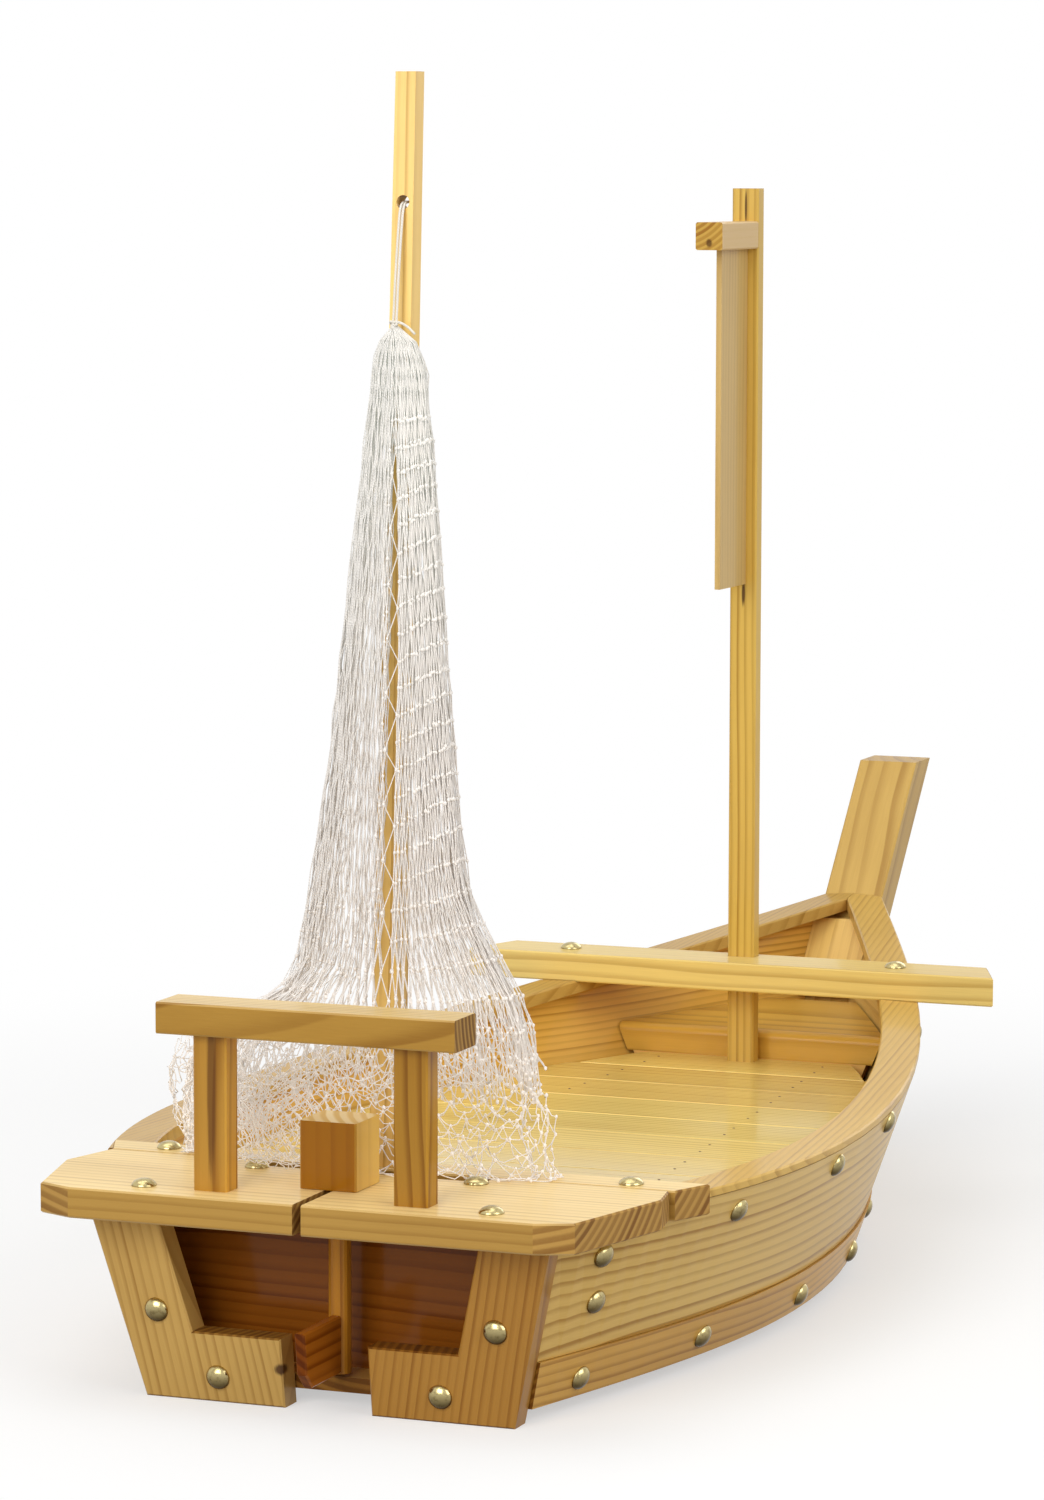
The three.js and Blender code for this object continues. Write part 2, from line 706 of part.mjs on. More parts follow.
// The rudder blade has a cut lower corner and a hollow edge that fits its post
const rudderBlade = () => {
  const aft = BLADE_AFT - RUDDER_Y;
  const lean = (BLADE_TOP - BLADE_FOOT - BLADE_CUT) * slopeOf(TRANSOM_RAKE);
  const outline = [
    [aft, BLADE_TOP],
    [aft + lean, BLADE_FOOT + BLADE_CUT],
    [aft + lean + BLADE_CUT, BLADE_FOOT],
    [0, BLADE_FOOT],
    [0, BLADE_TOP],
  ];
  const post = new THREE.CylinderGeometry(
    RUDDER_POST_D / 2 + CLEAR / 2, RUDDER_POST_D / 2 + CLEAR / 2, 2 * DECK_TOP, ROUND_STEPS,
  );
  const plate = board(outline, -BLADE_T / 2, BLADE_T / 2, EDGE).rotateX(Math.PI / 2).rotateZ(Math.PI / 2);
  return cut(plate, post.rotateX(Math.PI / 2));
};

// Materials
const wood = (color) => new THREE.MeshStandardMaterial({ color, roughness: 0.38, metalness: 0 });
const palePine = wood(0xe8c684);
const warmPine = wood(0xdcae5f);
const darkPine = wood(0xc08a45);
const twine = new THREE.MeshStandardMaterial({ color: 0xf3f1ec, roughness: 0.85, metalness: 0 });

const boat = new THREE.Group();
const hull = new THREE.Group();
const deck = new THREE.Group();
const rig = new THREE.Group();
boat.add(hull, deck, rig);

const place = (group, name, geometry, material, position = [0, 0, 0]) => {
  const mesh = new THREE.Mesh(geometry, material);
  mesh.name = name;
  mesh.position.set(...position);
  group.add(mesh);
};

const placePair = (group, name, geometry, material) => {
  place(group, `${name}_starboard`, geometry, material);
  place(group, `${name}_port`, mirrored(geometry), material);
};

// Hull
place(hull, "bottom_board", bottomBoard(), warmPine);
placePair(hull, "lower_strake", lowerStrake(), palePine);
placePair(hull, "upper_strake", upperStrake(), palePine);
placePair(hull, "rail", rail(), warmPine);
placePair(hull, "transom", transomHalf(), palePine);
place(hull, "stem", stem(), warmPine);
place(hull, "apron", apron(), warmPine);
place(
  hull,
  "foot_batten",
  box(-BATTEN_L / 2, BATTEN_L / 2, 0, BATTEN_W, 0, KEEL),
  warmPine,
  [0, alongHull(BATTEN_SHARE), 0],
);
place(
  hull,
  "stern_bulkhead",
  crossBoard(sternBulkheadFore - BULKHEAD_T, sternBulkheadFore, bottomTop, plankUnder),
  darkPine,
);
place(
  hull,
  "bow_bulkhead",
  crossBoard(stepY, stepY + BULKHEAD_T, bottomTop, TRAY_TOP),
  warmPine,
);
FRAME_SHARES.forEach((share, i) => {
  const aft = alongHull(share);
  const frame = crossBoard(aft, aft + BULKHEAD_T, bottomTop, slatUnder - BEARER_H);
  place(hull, `floor_frame_${i + 1}`, frame, warmPine);
});
placePair(hull, "bearer", bearer(), warmPine);

// Decks
for (let number = 0; number < SLAT_COUNT; number++) {
  place(deck, `slat_${number + 1}`, slat(number), palePine);
}
place(deck, "bow_platform", bowPlatform(), palePine);
place(deck, "stern_plank_aft", aftPlank(), palePine);
place(deck, "stern_plank_fore", forePlank(), palePine);

// Gate rail
const gate = new THREE.Group();
gate.position.set(0, fromAft(GATE_Y), DECK_TOP);
deck.add(gate);
const gatePost = bar(GATE_POST_W, GATE_POST_D, GATE_POST_H);
place(gate, "gate_post_starboard", gatePost, warmPine, [GATE_POST_X, 0, 0]);
place(gate, "gate_post_port", gatePost.clone(), warmPine, [-GATE_POST_X, 0, 0]);
place(
  gate,
  "gate_beam",
  bar(GATE_BEAM_T, GATE_BEAM_D, GATE_BEAM_L).rotateY(Math.PI / 2),
  warmPine,
  [-GATE_BEAM_L / 2, 0, GATE_POST_H + GATE_BEAM_T / 2],
);

// Rudder, which turns about its post
const rudder = new THREE.Group();
rudder.position.set(0, fromAft(RUDDER_Y), 0);
boat.add(rudder);
const rudderSeat = DECK_TOP + CLEAR;
place(
  rudder,
  "rudder_post",
  new THREE.CylinderGeometry(RUDDER_POST_D / 2, RUDDER_POST_D / 2, rudderSeat - RUDDER_POST_FOOT, ROUND_STEPS)
    .rotateX(Math.PI / 2),
  warmPine,
  [0, 0, (rudderSeat + RUDDER_POST_FOOT) / 2],
);
place(rudder, "rudder_head", bar(RUDDER_HEAD_W, RUDDER_HEAD_W, RUDDER_HEAD_H), warmPine, [0, 0, rudderSeat]);
place(rudder, "rudder_blade", rudderBlade(), palePine);

// Crossbeam, foremast, yard and sail
place(rig, "crossbeam", crossbeam(), palePine);
const mastAft = foremastY - FOREMAST_D / 2;
const yardTop = FOREMAST_TOP - YARD_DROP;
place(
  rig,
  "foremast",
  bar(FOREMAST_W, FOREMAST_D, FOREMAST_TOP - TRAY_TOP),
  warmPine,
  [0, foremastY, TRAY_TOP],
);
place(
  rig,
  "yard",
  bar(YARD_W, YARD_T, YARD_L).rotateX(Math.PI / 2),
  warmPine,
  [0, mastAft, yardTop - YARD_T / 2],
);
place(
  rig,
  "sail",
  box(-SAIL_T / 2, SAIL_T / 2, -SAIL_L, 0, -SAIL_H, 0),
  palePine,
  [0, mastAft, yardTop - YARD_T],
);

// Aft mast with its net and cord
place(rig, "aft_mast", aftMast(), warmPine);
place(rig, "net", net(), twine);
place(rig, "cord", cord(), twine);

export default boat;
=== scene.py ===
"""Looks of the wooden sushi boat: lacquered pine, brass nails, knotted net and its cord."""

from __future__ import annotations

import logging
import math
import random
from dataclasses import dataclass, field
from enum import Enum
from typing import Iterable, Sequence, Union

import bpy
import numpy as np
from mathutils import Euler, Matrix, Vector, noise
from mathutils.bvhtree import BVHTree


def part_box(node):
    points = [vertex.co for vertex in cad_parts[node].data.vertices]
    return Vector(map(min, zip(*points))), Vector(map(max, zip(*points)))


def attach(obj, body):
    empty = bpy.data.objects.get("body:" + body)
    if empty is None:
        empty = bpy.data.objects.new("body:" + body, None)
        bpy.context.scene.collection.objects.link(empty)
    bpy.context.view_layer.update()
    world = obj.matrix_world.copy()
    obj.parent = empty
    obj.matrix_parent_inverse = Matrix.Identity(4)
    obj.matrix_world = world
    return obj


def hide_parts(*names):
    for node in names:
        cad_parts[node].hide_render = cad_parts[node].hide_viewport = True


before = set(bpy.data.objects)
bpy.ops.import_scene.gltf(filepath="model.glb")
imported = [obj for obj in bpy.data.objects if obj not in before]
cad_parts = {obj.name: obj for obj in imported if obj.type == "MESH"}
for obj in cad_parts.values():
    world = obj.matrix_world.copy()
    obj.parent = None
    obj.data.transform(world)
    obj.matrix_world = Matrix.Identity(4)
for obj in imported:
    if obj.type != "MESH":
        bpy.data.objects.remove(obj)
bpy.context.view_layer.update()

log = logging.getLogger("sushi_boat")

Colour = tuple[float, float, float]
Point = tuple[float, float, float]
Pair = tuple[float, float]
Face = tuple[int, ...]
Owner = Union[bpy.types.Material, bpy.types.World]
Value = Union["Flow", float, int, Sequence[float]]
MM = 0.001
UP: Point = (0.0, 0.0, 1.0)


class Body(str, Enum):
    """CAD bodies that a new piece rides on."""

    HULL = "hull"
    AFT_MAST = "aft_mast"


class Slot(str, Enum):
    """Material slots of the record."""

    DARK = "dark_pine"
    TWINE = "twine"


class Grain(Enum):
    """Way that a board's fibres run."""

    ATHWART = (1.0, 0.0, 0.0)
    LENGTHWISE = (0.0, 1.0, 0.0)
    UPRIGHT = (0.0, 0.0, 1.0)
    RAKED_STEM = (0.0, 0.6717, 0.7408)
    RAKED_MAST = (0.0, 0.0576, 0.9983)
    TRANSOM_STARBOARD = (0.19, -0.15, 0.97)
    TRANSOM_PORT = (-0.19, -0.15, 0.97)
    RAIL_STARBOARD = (-0.12, 0.99, 0.06)
    RAIL_PORT = (0.12, 0.99, 0.06)
    GATE_BEAM = (1.0, 0.05, 0.0)


# Shader kit.


class Flow:
    """A node's output that takes part in Python arithmetic."""

    def __init__(self, graph: Graph, socket: bpy.types.NodeSocket | None) -> None:
        """Keep the graph and the socket."""
        self.graph = graph
        self.socket = socket

    def _math(self, operation: str, first: Value, second: Value = 0.0) -> Flow:
        """Add one Math node and return its result."""
        return self.graph.node("ShaderNodeMath", {"operation": operation}, {0: first, 1: second})

    def __add__(self, other: Value) -> Flow:
        """Sum."""
        return self._math("ADD", self, other)

    __radd__ = __add__

    def __sub__(self, other: Value) -> Flow:
        """Difference."""
        return self._math("SUBTRACT", self, other)

    def __rsub__(self, other: Value) -> Flow:
        """Reflected difference."""
        return self._math("SUBTRACT", other, self)

    def __mul__(self, other: Value) -> Flow:
        """Product."""
        return self._math("MULTIPLY", self, other)

    __rmul__ = __mul__

    def __truediv__(self, other: Value) -> Flow:
        """Quotient."""
        return self._math("DIVIDE", self, other)

    def __rtruediv__(self, other: Value) -> Flow:
        """Reflected quotient."""
        return self._math("DIVIDE", other, self)

    def __abs__(self) -> Flow:
        """Size without sign."""
        return self._math("ABSOLUTE", self)

    def part(self) -> Flow:
        """Fraction after the whole number."""
        return self._math("FRACT", self)

    def whole(self) -> Flow:
        """Whole number below."""
        return self._math("FLOOR", self)

    def root(self) -> Flow:
        """Square root."""
        return self._math("SQRT", self)

    def most(self, other: Value) -> Flow:
        """Larger of two values."""
        return self._math("MAXIMUM", self, other)

    def clamp(self) -> Flow:
        """Value held to 0..1."""
        return self._math("MINIMUM", self.most(0.0), 1.0)

    def ease(self, low: float, high: float) -> Flow:
        """Smooth step from 0 at low to 1 at high.

        Args:
            low: value that gives 0.
            high: value that gives 1.

        Returns:
            The eased value, clamped to 0..1.
        """
        return self.graph.node(
            "ShaderNodeMapRange",
            {"interpolation_type": "SMOOTHSTEP", "clamp": True},
            {0: self, 1: low, 2: high, 3: 0.0, 4: 1.0},
        )

    def other(self, out: int | str) -> Flow:
        """Another output of the same node."""
        return Flow(self.graph, self.socket.node.outputs[out])


class Graph:
    """Node tree of one material or of the world."""

    def __init__(self, owner: Owner) -> None:
        """Start an empty tree.

        Args:
            owner: the material or world that holds it.
        """
        owner.use_nodes = True
        self.owner = owner
        self.tree = owner.node_tree
        self.tree.nodes.clear()

    def node(
        self,
        kind: str,
        settings: dict | None = None,
        sockets: dict | None = None,
        out: int | str = 0,
    ) -> Flow:
        """Add a node.

        Args:
            kind: Blender's node type.
            settings: the node's own settings, set before its sockets.
            sockets: values or links of its inputs, by index or name.
            out: index or name of the output that is wanted.

        Returns:
            That output, with no socket where the node has none.
        """
        made = self.tree.nodes.new(kind)
        for key, value in (settings or {}).items():
            setattr(made, key, value)
        for key, value in (sockets or {}).items():
            if isinstance(value, Flow):
                self.tree.links.new(value.socket, made.inputs[key])
            else:
                made.inputs[key].default_value = value
        return Flow(self, made.outputs[out] if made.outputs else None)

    def place(self) -> Flow:
        """Point on the piece in the frame's metres, at rest."""
        return self.node("ShaderNodeTexCoord", out="Object")

    def facing(self) -> Flow:
        """Surface normal in the piece's own axes."""
        return self.node("ShaderNodeTexCoord", out="Normal")

    def seen(self) -> Flow:
        """1 for rays of the camera, of reflections and through clear pieces, or else 0."""
        ray = self.node("ShaderNodeLightPath", out="Is Camera Ray")
        return ray.most(ray.other("Is Glossy Ray")).most(ray.other("Is Transmission Ray"))

    def vectors(self, operation: str, first: Value, second: Value) -> Flow:
        """Vector that Vector Math makes of two."""
        settings = {"operation": operation}
        return self.node("ShaderNodeVectorMath", settings, {0: first, 1: second})

    def length(self, vector: Flow) -> Flow:
        """Length of a vector."""
        settings = {"operation": "LENGTH"}
        return self.node("ShaderNodeVectorMath", settings, {0: vector}, "Value")

    def dot(self, vector: Flow, axis: Point) -> Flow:
        """Length of a vector along a fixed axis."""
        settings = {"operation": "DOT_PRODUCT"}
        return self.node("ShaderNodeVectorMath", settings, {0: vector, 1: axis}, "Value")

    def vector(self, x: Value, y: Value, z: Value) -> Flow:
        """Vector from three values."""
        return self.node("ShaderNodeCombineXYZ", {}, {0: x, 1: y, 2: z})

    def noise(self, where: Flow, scale: float, detail: float = 2.0) -> Flow:
        """Soft noise of 0..1 at a place."""
        sockets = {"Vector": where, "Scale": scale, "Detail": detail, "Roughness": 0.55}
        return self.node("ShaderNodeTexNoise", {}, sockets)

    def mix(self, share: Value, first: Value, second: Value, blend: str = "MIX") -> Flow:
        """Mix two colours.

        Args:
            share: how much of the second colour there is.
            first: a colour.
            second: a colour.
            blend: Blender's way of mixing.

        Returns:
            The mixed colour.
        """
        settings = {"data_type": "RGBA", "blend_type": blend}
        sockets = {0: share, 6: shade(first), 7: shade(second)}
        return self.node("ShaderNodeMix", settings, sockets, 2)

    def bump(self, height: Flow, strength: float, distance: float) -> Flow:
        """Normal that follows a height."""
        sockets = {"Strength": strength, "Distance": distance, "Height": height}
        return self.node("ShaderNodeBump", {}, sockets)

    def surface(self, shader: Flow, end: str = "ShaderNodeOutputMaterial") -> Owner:
        """Link the shader to the tree's output and return the tree's owner."""
        self.node(end, {}, {"Surface": shader})
        return self.owner

    def principled(self, sockets: dict) -> Owner:
        """End the tree with a Principled shader and return its owner."""
        return self.surface(self.node("ShaderNodeBsdfPrincipled", {}, sockets))


def shade(colour: Value) -> Value:
    """Give a plain colour its fourth number, and leave a link as it is."""
    return colour if isinstance(colour, Flow) else (*tuple(colour)[:3], 1.0)


# Finishes.


@dataclass(frozen=True)
class Tone:
    """Colours of one kind of pine, linear: young wood, ring lines and cut ends."""

    pale: Colour
    amber: Colour
    end: Colour


PALE_GAIN, PALE_CAP = (1.13, 1.15, 1.20), (0.97, 0.90, 1.00)
AMBER_GAIN, END_GAIN = (0.60, 0.47, 0.30), (0.24, 0.14, 0.08)


def pine(*board: float) -> Tone:
    """Pine whose colour is about this all over.

    Args:
        board: linear red, green and blue of the board.

    Returns:
        Its young wood, ring lines and cut ends.
    """
    pale = (min(c * gain, cap) for c, gain, cap in zip(board, PALE_GAIN, PALE_CAP))
    amber = (c * gain for c, gain in zip(board, AMBER_GAIN))
    end = (c * gain for c, gain in zip(board, END_GAIN))
    return Tone(tuple(pale), tuple(amber), tuple(end))


@dataclass(frozen=True)
class Streaks:
    """Noise drawn out along the grain: its scale along and across it, and its detail."""

    along: float
    across: float
    detail: float

    def flow(self, graph: Graph, u: Flow, v: Flow, w: Flow) -> Flow:
        """Noise at u along the grain, and v and w across it."""
        where = graph.vector(u * self.along, v * self.across, w * self.across)
        return graph.noise(where, 1.0, self.detail)


SWAY, TREMBLE = Streaks(3.2, 9, 2.0), Streaks(16, 60, 1.0)
FIBRE, CLOUD = Streaks(45, 1500, 3.0), Streaks(5, 26, 2.0)
TREMBLE_SHARE, FIBRE_SHARE, AMBER_SHARE, FRAY = 0.12, 0.30, 0.08, 0.5

# Shares of a year's ring where its late wood starts and stops, on a face and on a cut end.
LATE_STARTS, LATE_STOPS = (0.42, 0.90), (0.92, 1.0)
CUT_STARTS, CUT_STOPS = (0.20, 0.52), (0.84, 1.0)

# How far a board starts along its log, and the rings that lie before it, at most.
START_REACH, RINGS_BEFORE = 3, 40

# How far the late wood's strength varies from year to year, and its least strength.
LATE_SPREAD, LATE_LEAST = 0.8, 0.3
CUT_SPREAD, CUT_LEAST, CUT_FIBRE = 0.5, 0.4, 0.15
PAINTED_FACE_TURNS, END_TURNS, MARK_FADES = (0.45, 0.85), 0.4, (0.45, 1.0)

# Roughness, lacquer and relief of a board.
FIBRE_ROUGH, END_ROUGH, LATE_SMOOTH, END_BARE = 0.12, 0.22, 0.05, 0.6
LATE_PROUD, FIBRE_PROUD = 0.35, 0.65
RELIEF, RELIEF_DEPTH = 0.14, 0.6 * MM


@dataclass(frozen=True)
class Mark:
    """A resin streak or knot inside a board."""

    centre: Point
    reach: Point
    tint: Colour = (0.075, 0.026, 0.008)
    strength: float = 0.85

    def stain(self, graph: Graph, colour: Flow, fibre: Flow) -> Flow:
        """Darken a board inside the mark.

        Args:
            graph: the board's graph.
            colour: colour so far.
            fibre: fine streaks, which fray the mark's edge.

        Returns:
            The colour with the mark in it.
        """
        apart = graph.vectors("SUBTRACT", graph.place(), self.centre)
        size = graph.length(graph.vectors("DIVIDE", apart, self.reach))
        inside = 1 - (size + (fibre - 0.5) * FRAY).ease(*MARK_FADES)
        return graph.mix(inside * self.strength, colour, self.tint)


@dataclass(frozen=True)
class Bend:
    """Curve that a bent plank follows: how far out it stands along its length."""

    powers: tuple[float, ...]
    flare: float

    def straighten(self, graph: Graph, where: Flow) -> Flow:
        """Take the bend out of a place.

        Args:
            graph: the plank's graph.
            where: place on the bent plank.

        Returns:
            Place on the plank as it was before it was bent.
        """
        x = graph.node("ShaderNodeSeparateXYZ", {}, {0: where})
        y, z = x.other(1), x.other(2)
        out = y * self.powers[0] + self.powers[1]
        for power in self.powers[2:]:
            out = out * y + power
        return graph.vector(abs(x) - out - z * self.flare, y, z)


@dataclass(frozen=True)
class Board:
    """Lacquered pine of one board: tone, and how it was sawn from the log.

    The growth rings are cylinders round a pith line that runs along the grain,
    off the board's middle by the vector pith.
    """

    tone: Tone
    grain: Grain
    pith: Point
    ring: float = 3.4 * MM
    figure: float = 0.75
    wander: float = 7 * MM
    cloud: float = 0.30
    lacquer: float = 0.22
    gloss: float = 0.30
    marks: tuple[Mark, ...] = ()
    bend: Bend | None = None
    ends_from: float = 0.40
    # edge and its tint paint light and shade: faces across the edge axis are made lighter or
    # darker.
    edge: Point | None = None
    painted_face_shading: Colour = (0.62, 0.55, 0.36)

    def _axes(self) -> tuple[Vector, Vector, Vector]:
        """Work out how the board lay in the log.

        Returns:
            Unit vectors along the grain, towards the pith, and across both.
        """
        along = Vector(self.grain.value).normalized()
        towards = Vector(self.pith)
        towards = (towards - along * towards.dot(along)).normalized()
        return along, towards, along.cross(towards)

    def _sawn(
        self, graph: Graph, middle: Vector, luck: random.Random
    ) -> tuple[Flow, Flow, Flow]:
        """Place on the board as it lay in the log.

        Args:
            graph: the board's graph.
            middle: middle of the board, in the frame.
            luck: source of the board's own growth.

        Returns:
            Place along the grain, from the pith away from the board, and across both.
        """
        where = graph.place()
        if self.bend is not None:
            where = self.bend.straighten(graph, where)
            middle = Vector((0.0, middle.y, middle.z))
        along, towards, beside = self._axes()
        depth = Vector(self.pith).length
        return (
            graph.dot(where, tuple(along)) + luck.uniform(-START_REACH, START_REACH),
            graph.dot(where, tuple(towards)) - (middle.dot(towards) + depth),
            graph.dot(where, tuple(beside)) - middle.dot(beside),
        )

    def material(self, name: str, middle: Vector, seed: int) -> bpy.types.Material:
        """Make the board's material.

        Args:
            name: name of the material.
            middle: middle of the board, in the frame.
            seed: number that sets this board's own growth.

        Returns:
            The material.
        """
        graph = Graph(bpy.data.materials.new(name))
        luck = random.Random(seed)
        u, v, w = self._sawn(graph, middle, luck)
        sway, tremble = (s.flow(graph, u, v, w) - 0.5 for s in (SWAY, TREMBLE))
        fibre, cloud = (s.flow(graph, u, v, w) for s in (FIBRE, CLOUD))
        radius = (v * v + w * w).root() + sway * self.wander
        count = (radius + tremble * (TREMBLE_SHARE * self.ring)) / self.ring
        count = count + luck.uniform(0, RINGS_BEFORE)
        whole, part = count.whole(), count.part()
        year = graph.node("ShaderNodeTexWhiteNoise", {"noise_dimensions": "1D"}, {"W": whole})
        late = part.ease(*LATE_STARTS) * (1 - part.ease(*LATE_STOPS))
        late = late * (year * LATE_SPREAD + LATE_LEAST)
        share = late * self.figure + (fibre - 0.5) * FIBRE_SHARE + (cloud - 0.5) * (2 * self.cloud)
        colour = graph.mix((share + AMBER_SHARE).clamp(), self.tone.pale, self.tone.amber)
        facing = graph.facing()
        # Painted light and shade on the faces across the edge axis.
        if self.edge is not None:
            side = abs(graph.dot(facing, self.edge)).ease(*PAINTED_FACE_TURNS)
            colour = graph.mix(side, colour, self.painted_face_shading, "MULTIPLY")
        ends = abs(graph.dot(facing, tuple(self._axes()[0])))
        ends = ends.ease(self.ends_from, self.ends_from + END_TURNS)
        dark = part.ease(*CUT_STARTS) * (1 - part.ease(*CUT_STOPS))
        dark = dark * (year * CUT_SPREAD + CUT_LEAST) + fibre * CUT_FIBRE
        cut = graph.mix(dark, self.tone.amber, self.tone.end)
        colour = graph.mix(ends, colour, cut)
        for mark in self.marks:
            colour = mark.stain(graph, colour, fibre)
        rough = fibre * FIBRE_ROUGH + (ends * END_ROUGH + (self.gloss - late * LATE_SMOOTH))
        relief = late * LATE_PROUD + fibre * FIBRE_PROUD
        return graph.principled(
            {
                "Base Color": colour,
                "Roughness": rough,
                "Specular IOR Level": 0.05,
                "Coat Weight": (1 - ends * END_BARE) * self.lacquer,
                "Coat Roughness": 0.12,
                "Normal": graph.bump(relief, RELIEF, RELIEF_DEPTH),
            }
        )


@dataclass(frozen=True)
class Brass:
    """Polished brass of the nail heads, a little tarnished, with painted shade where a head turns
    down.

    Its roughness is that of clean brass, and what tarnish and fine wear add. Its relief
    is a bump's strength and depth.
    """

    bright: Colour = (0.56, 0.46, 0.22)
    dull: Colour = (0.20, 0.145, 0.055)
    # under is painted shade: a dark reflection where a head faces down.
    under: Colour = (0.075, 0.052, 0.019)
    shade_turns_up: Pair = (-0.75, 0.50)
    tarnishes: Pair = (0.45, 0.75)
    patch_scale: float = 420.0
    fine_scale: float = 2600.0
    tarnish_share: float = 0.7
    rough: Point = (0.12, 0.14, 0.10)
    fine_share: float = 0.4
    relief: Pair = (0.2, 0.4 * MM)

    def material(self) -> bpy.types.Material:
        """Make the material: bright above, with painted shade where a head turns down to the wood.

        Returns:
            The material.
        """
        graph = Graph(bpy.data.materials.new("brass_head"))
        where = graph.place()
        patch, fine = graph.noise(where, self.patch_scale, 3.0), graph.noise(where, self.fine_scale)
        tarnish = patch.ease(*self.tarnishes)
        # Painted shade: the head darkens as its surface turns down towards the wood.
        lit = graph.dot(graph.facing(), UP).ease(*self.shade_turns_up)
        colour = graph.mix(tarnish * self.tarnish_share, self.bright, self.dull)
        clean, dulled, scratched = self.rough
        return graph.principled(
            {
                "Base Color": graph.mix(lit, self.under, colour),
                "Metallic": 1.0,
                "Roughness": tarnish * dulled + fine * scratched + clean,
                "Normal": graph.bump(patch + fine * self.fine_share, *self.relief),
            }
        )


@dataclass(frozen=True)
class Iron:
    """Dark pin heads set into the slats: the least roughness, and what rust adds."""

    dark: Colour = (0.045, 0.022, 0.012)
    rust: Colour = (0.14, 0.055, 0.018)
    patch_scale: float = 900.0
    rough: Pair = (0.4, 0.3)
    metal: float = 0.4

    def material(self) -> bpy.types.Material:
        """Make the material.

        Returns:
            The material.
        """
        graph = Graph(bpy.data.materials.new("iron_pin"))
        patch = graph.noise(graph.place(), self.patch_scale)
        colour = graph.mix(patch, self.dark, self.rust)
        rough = patch * self.rough[1] + self.rough[0]
        return graph.principled({"Base Color": colour, "Roughness": rough, "Metallic": self.metal})


@dataclass(frozen=True)
class Twine:
    """Undyed cotton twine: matt, with the lay of its strands.

    A painted glow in the emission, standing in for light scattered in the fibres and
    lifting the shade low on the net, fades to the share aloft over the heights waist_at,
    and grows to the crown over the heights crown_at, in metres. Wear is the part of
    patches, fuzz and lay in it, and how much of it is taken off.
    """

    name: str
    pale: Colour = (0.92, 0.87, 0.82)
    worn: Colour = (0.82, 0.76, 0.70)
    glow: float = 0.0
    aloft: float = 1.0
    crown: Colour = (0.55, 0.67, 0.64)
    waist_at: Pair = (0.13, 0.21)
    crown_at: Pair = (0.24, 0.50)
    lay_scale: float = 420.0
    fuzz_scale: float = 3200.0
    patch_scale: float = 60.0
    wear: tuple[float, float, float, float] = (0.5, 0.25, 0.3, 0.15)
    rough: Pair = (0.75, 0.15)
    relief: Pair = (0.4, 0.3 * MM)

    def material(self) -> bpy.types.Material:
        """Make the material.

        Returns:
            The material.
        """
        graph = Graph(bpy.data.materials.new(self.name))
        where = graph.place()
        lay = graph.node(
            "ShaderNodeTexWave",
            {"wave_type": "BANDS", "bands_direction": "DIAGONAL"},
            {"Vector": where, "Scale": self.lay_scale, "Distortion": 2.0, "Detail": 1.0},
        )
        fuzz, patch = (graph.noise(where, s) for s in (self.fuzz_scale, self.patch_scale))
        patched, fuzzy, laid, spared = self.wear
        share = (patch * patched + fuzz * fuzzy + lay * laid) - spared
        colour = graph.mix(share.clamp(), self.pale, self.worn)
        height = graph.dot(where, UP)
        faint_glow = tuple(self.aloft * c for c in self.pale)
        low_glow = graph.mix(height.ease(*self.waist_at), colour, faint_glow)
        return graph.principled(
            {
                "Base Color": colour,
                # Painted glow: emission that lights the twine, strongest low on the net.
                "Emission Color": graph.mix(height.ease(*self.crown_at), low_glow, self.crown),
                "Emission Strength": self.glow,
                "Roughness": fuzz * self.rough[1] + self.rough[0],
                "Normal": graph.bump(lay + fuzz, *self.relief),
            }
        )


# Mesh tools.


def circle(centre: Vector, side: Vector, up: Vector, radius: float, sides: int) -> list[Vector]:
    """Even points on a circle that two unit vectors span."""
    turns = (math.tau * k / sides for k in range(sides))
    return [centre + side * (radius * math.cos(a)) + up * (radius * math.sin(a)) for a in turns]


# Outline of a nail head: share of its radius and of its height.
DOME = ((1.0, -0.25), (1.0, 0.10), (0.985, 0.20), (0.93, 0.36))
DOME += ((0.80, 0.60), (0.60, 0.80), (0.36, 0.935), (0.14, 0.99))
FIRST_SIDE = (0.31, 0.95, 0.05)
BEAD_SIDES, BEAD_WAIST = 5, 0.86
TINY = 1e-9


